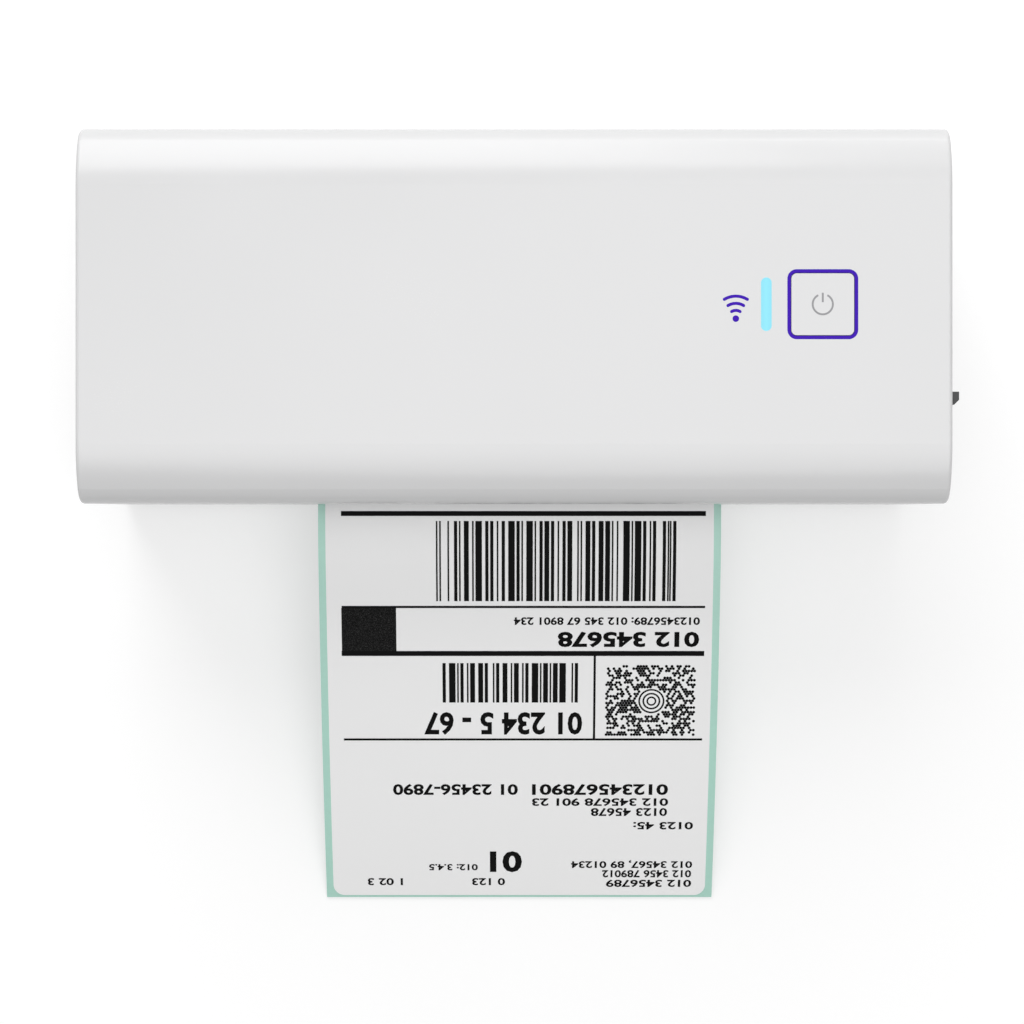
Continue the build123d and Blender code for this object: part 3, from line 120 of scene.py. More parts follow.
class Shade:
    """One output of a material's nodes. Sums, differences and products of it add Math nodes."""

    def __init__(self, tree, socket=None):
        self.tree = tree
        self.socket = socket

    def node(self, kind, settings=None, inputs=None, output=0):
        """Add a node of this kind, set its settings, then fill or link its inputs."""
        made = self.tree.nodes.new(kind)
        for name, value in (settings or {}).items():
            setattr(made, name, value)
        for name, value in (inputs or {}).items():
            if isinstance(value, Shade):
                self.tree.links.new(value.socket, made.inputs[name])
            else:
                made.inputs[name].default_value = value
        return Shade(self.tree, made.outputs[output] if made.outputs else None)

    def maths(self, operation, first, second=0.0):
        """A Math node on two values."""
        return self.node("ShaderNodeMath", {"operation": operation}, {0: first, 1: second})

    def __add__(self, other):
        return self.maths("ADD", self, other)

    def __radd__(self, other):
        return self.maths("ADD", other, self)

    def __sub__(self, other):
        return self.maths("SUBTRACT", self, other)

    def __rsub__(self, other):
        return self.maths("SUBTRACT", other, self)

    def __mul__(self, other):
        return self.maths("MULTIPLY", self, other)

    def __rmul__(self, other):
        return self.maths("MULTIPLY", other, self)

    def __gt__(self, other):
        return self.maths("GREATER_THAN", self, other)

    def __lt__(self, other):
        return self.maths("LESS_THAN", self, other)

    def size(self):
        """The value without its sign."""
        return self.maths("ABSOLUTE", self)

    def at_most(self, other):
        """The smaller of two values."""
        return self.maths("MINIMUM", self, other)

    def at_least(self, other):
        """The larger of two values."""
        return self.maths("MAXIMUM", self, other)


def opaque(colour):
    """A colour with full alpha."""
    return (*colour, 1.0)


def toned(colour, factor):
    """A lighter or darker form of a colour."""
    return tuple(min(1.0, part * factor) for part in colour)


def begin(name):
    """Start a material and give its first wrapper and the piece's own coordinates."""
    material = bpy.data.materials.new(name)
    material.use_nodes = True
    material.node_tree.nodes.clear()
    start = Shade(material.node_tree)
    return material, start, start.node("ShaderNodeTexCoord", output="Object")


def noise(place, cell, detail=2.0, roughness=0.5):
    """Cloudy noise whose patches are about one cell across, in metres."""
    values = {"Vector": place, "Scale": 1.0 / cell, "Detail": detail, "Roughness": roughness}
    return place.node("ShaderNodeTexNoise", None, values)


def stretched(place, scale):
    """Coordinates scaled along each axis, so that a pattern on them is drawn out."""
    return place.node("ShaderNodeMapping", None, {"Vector": place, "Scale": scale})


def blended(factor, first, second):
    """A mix of two colours. The Mix node's colours are its inputs 6 and 7 and its output 2."""
    colours = [part if isinstance(part, Shade) else opaque(part) for part in (first, second)]
    values = {0: factor, 6: colours[0], 7: colours[1]}
    return factor.node("ShaderNodeMix", {"data_type": "RGBA"}, values, 2)


def bumped(height, depth, strength=1.0):
    """A surface raised by a height pattern, as deep as depth in metres."""
    values = {"Height": height, "Distance": depth, "Strength": strength}
    return height.node("ShaderNodeBump", None, values)


def finish(material, shade, colour, roughness, **more):
    """Close a material with its surface shader. Each colour comes from nodes."""
    values = {"Base Color": colour, "Roughness": roughness}
    values.update({name.replace("_", " "): value for name, value in more.items()})
    surface = shade.node("ShaderNodeBsdfPrincipled", None, values)
    shade.node("ShaderNodeOutputMaterial", None, {"Surface": surface})
    return material


def swing(pattern, amount):
    """A pattern from 0 to 1 turned into a change to both sides of nothing."""
    return (pattern - 0.5) * amount


def axis_part(place, axis):
    """One coordinate of a place."""
    return place.node("ShaderNodeSeparateXYZ", None, {"Vector": place}, axis)


def distance_across(place, centre, first, second):
    """The distance from a line through centre, measured in the two axes across it."""
    along_first = axis_part(place, first) - centre[first]
    along_second = axis_part(place, second) - centre[second]
    return place.maths("SQRT", along_first * along_first + along_second * along_second)


# Finishes

def moulded_plastic(name, colour, roughness, grain, depth, shine=0.5):
    """Injection-moulded plastic: spark-eroded grain, slightly uneven tone and gloss."""
    material, shade, place = begin(name)
    cells = noise(place, cell=grain, detail=3.0, roughness=0.6)
    clouds = noise(place, cell=0.045, detail=2.0)
    tone = blended(clouds, toned(colour, 0.975), toned(colour, 1.015))
    rough = swing(clouds, 0.10) + swing(cells, 0.12) + roughness
    normal = bumped(cells, depth, strength=0.6)
    return finish(material, shade, tone, rough, Normal=normal, Specular_IOR_Level=shine)


def tough_rubber(name, colour, ridge):
    """Ground rubber: matt, with fine grinding marks and a dusty tone."""
    material, shade, place = begin(name)
    marks = noise(stretched(place, (1.0, 0.12, 0.12)), cell=ridge, detail=2.0)
    dust = noise(place, cell=0.006, detail=4.0, roughness=0.65)
    tone = blended(dust, toned(colour, 0.8), toned(colour, 1.35))
    rough = 0.72 + swing(dust, 0.2)
    normal = bumped(marks, depth=0.00004, strength=0.7)
    return finish(material, shade, tone, rough, Normal=normal, Specular_IOR_Level=0.35)


def turned_metal(name, colour, roughness, pull=(1.0, 0.03, 0.03)):
    """Turned or drawn metal: fine marks round the piece and faint handling stains."""
    material, shade, place = begin(name)
    marks = noise(stretched(place, pull), cell=0.00022, detail=3.0, roughness=0.7)
    stains = noise(place, cell=0.012, detail=3.0, roughness=0.6)
    tone = blended(stains, toned(colour, 0.86), toned(colour, 1.06))
    rough = swing(marks, 0.22) + swing(stains, 0.12) + roughness
    normal = bumped(marks, depth=0.000012, strength=0.5)
    return finish(material, shade, tone, rough, Metallic=1.0, Normal=normal)


def plated_metal(name, colour, roughness):
    """Zinc-plated sheet: soft spangle in tone and gloss."""
    material, shade, place = begin(name)
    grains = {"Vector": place, "Scale": 420.0, "Randomness": 1.0}
    spangle = place.node("ShaderNodeTexVoronoi", {"feature": "F1"}, grains)
    fine = noise(place, cell=0.0004, detail=3.0)
    tone = blended(spangle, toned(colour, 1.06), toned(colour, 0.84))
    rough = (spangle - 0.3) * 0.18 + swing(fine, 0.1) + roughness
    normal = bumped(fine, SMOOTH, strength=0.4)
    return finish(material, shade, tone, rough, Metallic=1.0, Normal=normal)


def fired_ceramic(name, colour):
    """Glazed ceramic with its thin dark heater line over the platen's axis."""
    material, shade, place = begin(name)
    line = (axis_part(place, 1) - middle_of("head_ceramic").y).size() < HEATER_HALF
    speckle = noise(place, cell=0.0005, detail=3.0)
    body = blended(speckle, toned(colour, 0.94), colour)
    tone = blended(line, body, (0.10, 0.06, 0.04))
    rough = 0.22 + line * 0.2 + swing(speckle, 0.06)
    return finish(material, shade, tone, rough, Normal=bumped(speckle, POLISHED, strength=0.4))


def circuit_laminate(name, mask_colour, surface_height, cans):
    """Circuit board: solder mask over copper runs, dark chips on it, round cans where given."""
    material, shade, place = begin(name)
    runs = copper_runs(place)
    weave = noise(place, cell=0.0006, detail=2.0)
    board = blended(runs, toned(mask_colour, 0.8), toned(mask_colour, 1.9))
    height = axis_part(place, 2)
    raised = height > surface_height + CHIP_START
    epoxy = blended(weave, (0.012, 0.012, 0.013), (0.03, 0.03, 0.032))
    tone = blended(raised, board, epoxy)
    metal = 0.0
    for x, y, radius, top in cans:
        inside = distance_across(place, (x, y), 0, 1) < radius
        sleeve = inside * raised
        lid = sleeve * (height > top - CAN_LID)
        tone = blended(sleeve, tone, (0.02, 0.025, 0.05))
        tone = blended(lid, tone, (0.62, 0.63, 0.64))
        metal = metal + lid
    rough = 0.38 + swing(weave, 0.15) + raised * 0.2
    if cans:
        rough = rough - metal * 0.2
    normal = bumped(runs + weave * 0.2, GRAINED, strength=0.5)
    return finish(material, shade, tone, rough, Metallic=metal, Normal=normal)


def copper_runs(place):
    """Two nets of straight copper runs across each other, as a height from 0 to 1."""
    nets = []
    settings = {"offset": 0.37, "offset_frequency": 3, "squash": 1.6, "squash_frequency": 2}
    for cell, share, turn in ((0.0042, 0.16, 0.0), (0.0027, 0.12, math.pi / 2)):
        rotated = {"Vector": place, "Rotation": (0.0, 0.0, turn)}
        turned = place.node("ShaderNodeMapping", None, rotated)
        values = {
            "Vector": turned,
            "Scale": 1.0,
            "Mortar Size": cell * share * 0.5,
            "Mortar Smooth": 0.1,
            "Brick Width": cell * 2.6,
            "Row Height": cell,
        }
        nets.append(turned.node("ShaderNodeTexBrick", settings, values, "Fac"))
    return nets[0].at_least(nets[1])


def thermal_paper(name, colour):
    """Coated label paper: smooth white with the faintest fibre."""
    material, shade, place = begin(name)
    fibre = noise(stretched(place, (1.0, 0.35, 1.0)), cell=0.0006, detail=4.0, roughness=0.65)
    clouds = noise(place, cell=0.02, detail=2.0)
    tone = blended(clouds, toned(colour, 0.985), colour)
    rough = 0.42 + swing(fibre, 0.12)
    normal = bumped(fibre, SATIN, strength=0.35)
    return finish(material, shade, tone, rough, Normal=normal, Specular_IOR_Level=0.4)


def glassine_paper(name, colour):
    """The liner's dense tinted paper, a little shiny and faintly mottled."""
    material, shade, place = begin(name)
    mottle = noise(place, cell=0.0015, detail=4.0, roughness=0.7)
    tone = blended(mottle, toned(colour, 0.95), toned(colour, 1.04))
    rough = 0.34 + swing(mottle, 0.14)
    return finish(material, shade, tone, rough, Normal=bumped(mottle, SATIN, strength=0.3))


def thermal_ink(name, colour, solid, missed):
    """Heat-marked paper: near black, matt, and missed by the heat where fine noise passes solid."""
    material, shade, place = begin(name)
    specks = noise(place, cell=0.00022, detail=2.0, roughness=0.7)
    tone = blended(specks > solid, colour, (missed, missed, missed))
    return finish(material, shade, tone, 0.62 + swing(specks, 0.1), Specular_IOR_Level=0.06)


def screen_ink(name, colour):
    """Ink printed on the case, a little uneven in gloss."""
    material, shade, place = begin(name)
    film = noise(place, cell=0.0004, detail=3.0)
    tone = blended(film, toned(colour, 0.95), toned(colour, 1.03))
    return finish(material, shade, tone, 0.45 + swing(film, 0.15), Specular_IOR_Level=0.12)


def lit_lens(name, colour, glow, fade):
    """A diffusing lens lit from below, a touch brighter along its middle."""
    material, shade, place = begin(name)
    middle = middle_of("status_light_lens").x
    from_middle = (axis_part(place, 0) - middle).size() * (1.0 / fade)
    haze = noise(place, cell=0.0016, detail=2.0)
    tone = blended(from_middle.at_most(1.0), toned(colour, 1.05), toned(colour, 0.92))
    rough = 0.3 + swing(haze, 0.1)
    return finish(material, shade, tone, rough, Emission_Color=tone, Emission_Strength=glow)


def lamp_body(name, colour):
    """A small lamp on the board: pale body and a yellow window."""
    material, shade, place = begin(name)
    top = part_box("status_leds")[1].z
    window = axis_part(place, 2) > top - LAMP_WINDOW
    grain = noise(place, cell=0.0003, detail=2.0)
    tone = blended(window, toned(colour, 0.95), (0.85, 0.72, 0.25))
    return finish(material, shade, tone, 0.4 + swing(grain, 0.1))


def socket_plastic(name, colour, contact_axis):
    """Glossy black socket plastic with a bright centre contact."""
    material, shade, place = begin(name)
    pin = distance_across(place, contact_axis, 0, 2) < CONTACT_RADIUS
    grain = noise(place, cell=0.00025, detail=3.0)
    tone = blended(pin, colour, (0.78, 0.74, 0.62))
    rough = 0.36 + swing(grain, 0.14) - pin * 0.12
    normal = bumped(grain, SATIN, strength=0.4)
    return finish(material, shade, tone, rough, Metallic=pin, Normal=normal)


def socket_shell(name, colour, tongue):
    """Pressed tin shell round a pale plastic tongue."""
    material, shade, place = begin(name)
    half_x, half_z = TONGUE_HALF
    inside_x = (axis_part(place, 0) - tongue.x).size() < half_x
    inside_z = (axis_part(place, 2) - tongue.z).size() < half_z
    tip = inside_x * inside_z
    marks = noise(stretched(place, (1.0, 0.1, 1.0)), cell=0.0004, detail=3.0)
    tone = blended(tip, toned(colour, 0.95), (0.62, 0.62, 0.60))
    rough = 0.3 + swing(marks, 0.15) + tip * 0.15
    normal = bumped(marks, SMOOTH, strength=0.4)
    return finish(material, shade, tone, rough, Metallic=1.0 - tip, Normal=normal)


# Pieces

def give(material, *names):
    """Give CAD nodes their finish."""
    for name in names:
        NODES[name].data.materials.clear()
        NODES[name].data.materials.append(material)


def make_piece(name, shape, material, body):
    """Turn a bmesh into a piece that moves with a body."""
    mesh = bpy.data.meshes.new(name)
    shape.to_mesh(mesh)
    shape.free()
    mesh.materials.append(material)
    piece = bpy.data.objects.new(name, mesh)
    bpy.context.scene.collection.objects.link(piece)
    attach(piece, body)
    return piece


def thicken(piece, depth):
    """Give a flat printed piece its thin layer, outwards."""
    layer = piece.modifiers.new("layer", "SOLIDIFY")
    layer.thickness = depth
    layer.offset = 1.0


def flat_arc(shape, centre, radius, stroke, start, end, steps, height):
    """A flat band bent round a centre, from one angle to another."""
    x, y = centre
    verts = [
        shape.verts.new((x + reach * math.cos(start), y + reach * math.sin(start), height))
        for reach in (radius - stroke / 2, radius + stroke / 2)
    ]
    edge = shape.edges.new(verts)
    whole = abs(end - start) > 2 * math.pi - 1e-6
    bmesh.ops.spin(
        shape, geom=[*verts, edge], cent=(*centre, height), axis=(0, 0, 1), angle=end - start,
        steps=steps, use_merge=whole)


def flat_dot(shape, centre, radius, segments, height=0.0):
    """A flat round dot."""
    place = Matrix.Translation((*centre, height))
    bmesh.ops.create_circle(shape, cap_ends=True, radius=radius, segments=segments, matrix=place)


def flat_bar(shape, x0, x1, y0, y1, height=0.0, steps=1):
    """A flat bar between two corners, divided along Y so that it can follow a bend."""
    place = Matrix.Translation(((x0 + x1) / 2, (y0 + y1) / 2, height))
    place = place @ Matrix.Diagonal(((x1 - x0) / 2, (y1 - y0) / 2, 1.0, 1.0))
    bmesh.ops.create_grid(shape, x_segments=1, y_segments=steps, size=1.0, matrix=place)


def face_up(shape):
    """Turn every flat face to look up."""
    bmesh.ops.remove_doubles(shape, verts=shape.verts, dist=1e-7)
    shape.normal_update()
    bmesh.ops.reverse_faces(shape, faces=[face for face in shape.faces if face.normal.z < 0])


def coil(foot, axis, length, radius, wire, turns):
    """A round wire wound from foot along an axis, with a closed turn at each end."""
    shape = bmesh.new()
    ring = bmesh.ops.create_circle(shape, segments=WIRE_SIDES, radius=wire / 2)["verts"]
    upright = Matrix.Rotation(math.pi / 2, 4, "X")
    start = Matrix.Translation((radius - wire / 2, 0, wire / 2))
    bmesh.ops.transform(shape, matrix=start @ upright, verts=ring)
    geometry = [*ring, *shape.edges]
    closed = wire * CLOSED_PITCH
    open_pitch = (length - wire - 2 * closed) / (turns - 2)
    for count, pitch in ((1, closed), (turns - 2, open_pitch), (1, closed)):
        found = bmesh.ops.spin(
            shape, geom=geometry, cent=(0, 0, 0), axis=(0, 0, 1), angle=2 * math.pi * count,
            steps=TURN_STEPS * count, dvec=(0, 0, pitch / TURN_STEPS))
        geometry = found["geom_last"]
    loose = [edge for edge in shape.edges if edge.is_boundary]
    bmesh.ops.holes_fill(shape, edges=loose, sides=0)
    turn = Vector((0, 0, 1)).rotation_difference(Vector(axis)).to_matrix().to_4x4()
    bmesh.ops.transform(shape, matrix=Matrix.Translation(foot) @ turn, verts=shape.verts)
    bmesh.ops.recalc_face_normals(shape, faces=shape.faces)
    # Spin makes its parts in another order in each run, so they are sorted.
    shape.verts.sort(key=lambda vert: vert.co.dot(SORT_SLANT))
    shape.faces.sort(key=lambda face: face.calc_center_median().dot(SORT_SLANT))
    return shape


def wound(name, shapes, material, body, node):
    """Join wound springs into one piece that stands for the CAD node's tubes."""
    whole = bmesh.new()
    for shape in shapes:
        mesh = bpy.data.meshes.new(name)
        shape.to_mesh(mesh)
        shape.free()
        whole.from_mesh(mesh)
        bpy.data.meshes.remove(mesh)
    for face in whole.faces:
        face.smooth = True
    piece = make_piece(name, whole, material, body)
    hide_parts(node)


# The label's bent face

def on_label(paper, across, along, lift):
    """The point over the label's printed face, from distances across and along, in metres."""
    x = LABEL_MIDDLE + across
    radius = paper.bend_radius
    past = along - paper.exit_run
    if past <= 0:
        return Vector((x, CASE_FRONT - along, LABEL_TOP + lift))
    turned = paper.bend_turn
    centre = Vector((x, CASE_FRONT - paper.exit_run, LABEL_TOP - radius))
    angle = past / radius
    if angle > turned:
        longer = paper.drop_radius
        shift = longer - radius
        centre += Vector((0, shift * math.sin(turned), -shift * math.cos(turned)))
        angle = turned + (past - radius * turned) / longer
        radius = longer
    reach = radius + lift
    return centre + Vector((0, -reach * math.sin(angle), reach * math.cos(angle)))


def lay_on_label(paper, shape):
    """Lay a print, drawn flat in millimetres across and back from the front wall, on the label."""
    face_up(shape)
    for vert in shape.verts:
        vert.co = on_label(paper, vert.co.x * MM, -vert.co.y * MM, paper.print_lift)
    shape.normal_update()


def print_piece(context, name, shape, material):
    """Lay a flat print on the label as a thin layer that moves with it."""
    paper = context.scene.label_settings
    lay_on_label(paper, shape)
    piece = make_piece(name, shape, material, "label")
    thicken(piece, paper.print_depth)


def box_print(shape, along, across):
    """A printed rectangle, from its spans along and across the label in millimetres."""
    steps = max(1, math.ceil((along[1] - along[0]) / PRINT_STEP))
    flat_bar(shape, *across, -along[1], -along[0], steps=steps)


def bar_code(shape, along, across, seed):
    """Upright bars in groups of three, of chance widths that stand for no real number."""
    pick = random.Random(seed)
    x = across[0]
    while x < across[1] - BAR_GROUP * BAR_MODULE:
        # Bars and gaps by turns. A bar, with an even index, comes up twice as often as a gap.
        widths = [1] * 6
        while sum(widths) < BAR_GROUP:
            index = pick.choice((0, 2, 4, 0, 2, 4, 1, 3, 5))
            if widths[index] < WIDEST_BAR:
                widths[index] += 1
        for index, width in enumerate(widths):
            if index % 2 == 0:
                box_print(shape, along, (x, x + width * BAR_MODULE))
            x += width * BAR_MODULE
    box_print(shape, along, (across[1] - 4 * BAR_MODULE, across[1] - 3 * BAR_MODULE))
    box_print(shape, along, (across[1] - 2 * BAR_MODULE, across[1]))


def dot_code(shape, along, across, middle, clear, seed):
    """A square of chance dots round three rings, standing for no real code."""
    pick = random.Random(seed)
    rows = int((along[1] - along[0]) / (DOT_PITCH * DOT_ROW_STEP))
    columns = int((across[1] - across[0]) / DOT_PITCH)
    for row in range(rows):
        down = along[0] + DOT_RADIUS + row * DOT_PITCH * DOT_ROW_STEP
        for column in range(columns):
            aside = across[0] + DOT_RADIUS + (column + (row % 2) / 2) * DOT_PITCH
            away = math.hypot(down - middle[0], aside - middle[1])
            if away > clear and aside < across[1] and pick.random() < DOT_SHARE:
                flat_dot(shape, (aside, -down), DOT_RADIUS, DOT_SIDES)
    for radius, stroke in CODE_RINGS:
        flat_arc(shape, (middle[1], -middle[0]), radius, stroke, 0, 2 * math.pi, 36, 0.0)


def number_row(shape, words, along, across, weight):
    """Plain digits that fill a row of the label, read from its far edge."""
    data = bpy.data.curves.new("digits", "FONT")
    data.body = words
    data.offset = weight
    data.resolution_u = 3
    text = bpy.data.objects.new("digits", data)
    bpy.context.scene.collection.objects.link(text)
    bpy.context.view_layer.update()
    state = bpy.context.evaluated_depsgraph_get()
    mesh = bpy.data.meshes.new_from_object(text.evaluated_get(state))
    bpy.data.objects.remove(text)
    bpy.data.curves.remove(data)
    points = [vert.co for vert in mesh.vertices]
    low, high = (Vector(map(pick, *points)) for pick in (min, max))
    wide = (across[1] - across[0]) / (high.x - low.x)
    tall = (along[1] - along[0]) / (high.y - low.y)
    turned = Matrix.Diagonal((-wide, -tall, 1, 1)) @ Matrix.Translation(-low)
    mesh.transform(Matrix.Translation((across[1], -along[0], 0)) @ turned)
    shape.from_mesh(mesh)
    bpy.data.meshes.remove(mesh)


# Settings

COLOUR = {"subtype": "COLOR", "size": 3, "min": 0, "max": 1}
LENGTH = {"subtype": "DISTANCE", "unit": "LENGTH", "precision": 5}
POWER = {"unit": "POWER", "min": 0, "max": 200}


class CaseSettings(bpy.types.PropertyGroup):
    """Colours of the case and of the moving parts inside it."""

    white: bpy.props.FloatVectorProperty(
        name="Case", description="White plastic of cover and base", default=(0.712, 0.712, 0.716),
        **COLOUR)
    gloss: bpy.props.FloatProperty(
        name="Case roughness", description="How dull the white plastic is", subtype="FACTOR", min=0,
        max=1, default=0.24)
    floor: bpy.props.FloatVectorProperty(
        name="Floor plate", description="Plastic of the plate under the base",
        default=(0.055, 0.056, 0.060), **COLOUR)
    dark: bpy.props.FloatVectorProperty(
        name="Inner frame", description="Dark plastic of the deck and the cover's frame",
        default=(0.035, 0.036, 0.040), **COLOUR)
    guides: bpy.props.FloatVectorProperty(
        name="Guides", description="Plastic of the two label guides", default=(0.16, 0.165, 0.175),
        **COLOUR)
    lever: bpy.props.FloatVectorProperty(
        name="Lever", description="Dark plastic of the release lever",
        default=(0.022, 0.022, 0.024), **COLOUR)
    grain: bpy.props.FloatProperty(
        name="Grain", description="Size of the mould grain", min=0.00005, max=0.002, default=0.0003,
        **LENGTH)


class ControlSettings(bpy.types.PropertyGroup):
    """Sizes and colours of the button, its ring, the light and the printed signs."""

    ring: bpy.props.FloatVectorProperty(
        name="Ring", description="Trim ring round the power button", default=(0.050, 0.006, 0.440),
        **COLOUR)
    light: bpy.props.FloatVectorProperty(
        name="Light", description="Status light", default=(0.22, 0.68, 0.82), **COLOUR)
    glow: bpy.props.FloatProperty(
        name="Glow", description="How strongly the status light shines", min=0, max=5, default=0.1)
    sign: bpy.props.FloatVectorProperty(
        name="Power sign", description="Printed sign on the button", default=(0.34, 0.34, 0.35),
        **COLOUR)
    sign_radius: bpy.props.FloatProperty(
        name="Sign radius", description="Middle of the power sign's arc", min=0.001, max=0.006,
        default=0.00245, **LENGTH)
    sign_stroke: bpy.props.FloatProperty(
        name="Sign stroke", description="Width of the power sign's lines", min=0.0001, max=0.002,
        default=0.00046, **LENGTH)
    wave_stroke: bpy.props.FloatProperty(
        name="Wave stroke", description="Width of the wireless sign's arcs", min=0.0001, max=0.002,
        default=0.00075, **LENGTH)
    wave_across: bpy.props.FloatProperty(
        name="Wave sign across", description="The wireless sign's distance from the light", min=0,
        max=0.05, default=0.0074, **LENGTH)
    wave_forward: bpy.props.FloatProperty(
        name="Wave sign forward", description="How far the wireless dot is in front of the light",
        min=0, max=0.02, default=0.0035, **LENGTH)
    layer: bpy.props.FloatProperty(
        name="Print layer", description="Thickness of printed signs", min=0.000005, max=0.0002,
        default=0.00002, **LENGTH)


class LabelSettings(bpy.types.PropertyGroup):
    """The paper's colours and the way that it bends out of the slot."""

    paper: bpy.props.FloatVectorProperty(
        name="Label", description="Coated label paper", default=(0.98, 0.98, 0.98), **COLOUR)
    liner: bpy.props.FloatVectorProperty(
        name="Liner", description="Tinted backing paper", default=(0.45, 0.74, 0.635), **COLOUR)
    ink: bpy.props.FloatVectorProperty(
        name="Print", description="Heat-marked parts of the label", default=(0.003, 0.003, 0.003),
        **COLOUR)
    exit_run: bpy.props.FloatProperty(
        name="Level run", description="How far the label stays level past the wall", min=0,
        max=0.05, default=0.0039, **LENGTH)
    bend_radius: bpy.props.FloatProperty(
        name="First bend", description="Radius of the printed face in the first bend", min=0.01,
        max=1, default=0.05033, **LENGTH)
    bend_turn: bpy.props.FloatProperty(
        name="First turn", description="Angle of the first bend", subtype="ANGLE", unit="ROTATION",
        min=0, max=1, default=math.radians(13.5))
    drop_radius: bpy.props.FloatProperty(
        name="Long bend", description="Radius of the printed face in the long bend", min=0.05,
        max=2, default=0.44933, **LENGTH)
    print_lift: bpy.props.FloatProperty(
        name="Print lift", description="Gap under the print", min=0, max=0.0002, default=0.00001,
        **LENGTH)
    print_depth: bpy.props.FloatProperty(
        name="Print depth", description="Thickness of the print", min=0.000005, max=0.0002,
        default=0.00002, **LENGTH)


class StageSettings(bpy.types.PropertyGroup):
    """Studio floor, lights and camera."""

    sky: bpy.props.FloatProperty(
        name="Sky", description="Strength of the even light from all round", min=0, max=3,
        default=0.34)
    top_power: bpy.props.FloatProperty(
        name="Top lamp", description="Power of the large lamp over the printer", default=12.9,
        **POWER)
    top_place: bpy.props.FloatVectorProperty(
        name="Top lamp place", description="Where the lamp over the printer hangs",
        subtype="TRANSLATION", unit="LENGTH", size=3, default=(0.2, -0.3, 1.7))
    top_size: bpy.props.FloatProperty(
        name="Top lamp size", description="Width of the lamp over the printer", min=0.1, max=5,
        default=1.5, **LENGTH)
    back_power: bpy.props.FloatProperty(
        name="Back lamp", description="Power of the large lamp behind the printer", default=9.4,
        **POWER)
    back_place: bpy.props.FloatVectorProperty(
        name="Back lamp place", description="Where the lamp behind the printer stands",
        subtype="TRANSLATION", unit="LENGTH", size=3, default=(-0.3, 1.15, 1.15))
    back_size: bpy.props.FloatProperty(
        name="Back lamp size", description="Width of the lamp behind the printer", min=0.1, max=5,
        default=1.0, **LENGTH)
    low_power: bpy.props.FloatProperty(
        name="Low lamp", description="Power of the low lamp that lights the cover's back edge",
        default=6.0, **POWER)
    low_place: bpy.props.FloatVectorProperty(
        name="Low lamp place", description="Where the low lamp stands", subtype="TRANSLATION",
        unit="LENGTH", size=3, default=(-0.1, 1.35, 0.5))
    low_size: bpy.props.FloatVectorProperty(
        name="Low lamp size", description="Width and height of the low lamp", subtype="XYZ",
        unit="LENGTH", size=2, min=0.05, max=5, default=(1.6, 0.35))
    floor_tone: bpy.props.FloatProperty(
        name="Floor tone", description="How pale the floor's own surface is", subtype="FACTOR",
        min=0, max=1, default=0.6)
    floor_glow: bpy.props.FloatProperty(
        name="Floor white", description="White that the floor adds for the eye", min=0, max=1,
        default=0.47)
    floor_fade: bpy.props.FloatVectorProperty(
        name="Floor fade", description="How far off the floor starts to turn white, and is white",
        subtype="XYZ", unit="LENGTH", size=2, min=0, max=6, default=(0.3, 1.6))
    lens: bpy.props.FloatProperty(
        name="Lens", description="Focal length in millimetres", min=20, max=300, default=94.5)
    camera_height: bpy.props.FloatProperty(
        name="Camera height", description="Height of the camera over the table", min=0.2, max=3,
        default=0.738, **LENGTH)
    camera_x: bpy.props.FloatProperty(
        name="Camera X", description="Camera's place across", min=-1, max=1, default=-0.00049,
        **LENGTH)
    camera_y: bpy.props.FloatProperty(
        name="Camera Y", description="Camera's place in depth", min=-1, max=1, default=0.00574,
        **LENGTH)


# Operators

class PRINTER_OT_case(bpy.types.Operator):
    """Give the cover, the base, its floor plate, the feet and the lever their plastics"""

    bl_idname = "printer.case"
    bl_label = "Finish the case"

    def execute(self, context):
        case = context.scene.case_settings
        white = moulded_plastic("case white", tuple(case.white), case.gloss, case.grain, POLISHED)
        give(white, "top_cover", "base_housing")
        floor = moulded_plastic("floor plate", tuple(case.floor), 0.5, case.grain, GRAINED)
        give(floor, "bottom_cover")
        lever = moulded_plastic("lever dark", tuple(case.lever), 0.42, case.grain, GRAINED)
        give(lever, "release_lever")
        give(tough_rubber("foot rubber", (0.03, 0.03, 0.032), 0.0008), "rubber_feet")
        return {"FINISHED"}


class PRINTER_OT_inner_frame(bpy.types.Operator):
    """Give the deck, the cover's frame, the guides and the sensor their finishes"""

    bl_idname = "printer.inner_frame"
    bl_label = "Finish the inner frame"

    def execute(self, context):
        case = context.scene.case_settings
        dark = moulded_plastic("frame dark", tuple(case.dark), 0.48, case.grain * 1.6, COARSE)
        give(dark, "deck", "lid_frame")
        guides = moulded_plastic("guide grey", tuple(case.guides), 0.45, case.grain, GRAINED)
        give(guides, "left_guide", "right_guide", "latch_hook_left", "latch_hook_right")
        sensor = moulded_plastic("sensor dark", (0.02, 0.02, 0.024), 0.25, case.grain, SMOOTH)
        give(sensor, "gap_sensor")
        return {"FINISHED"}


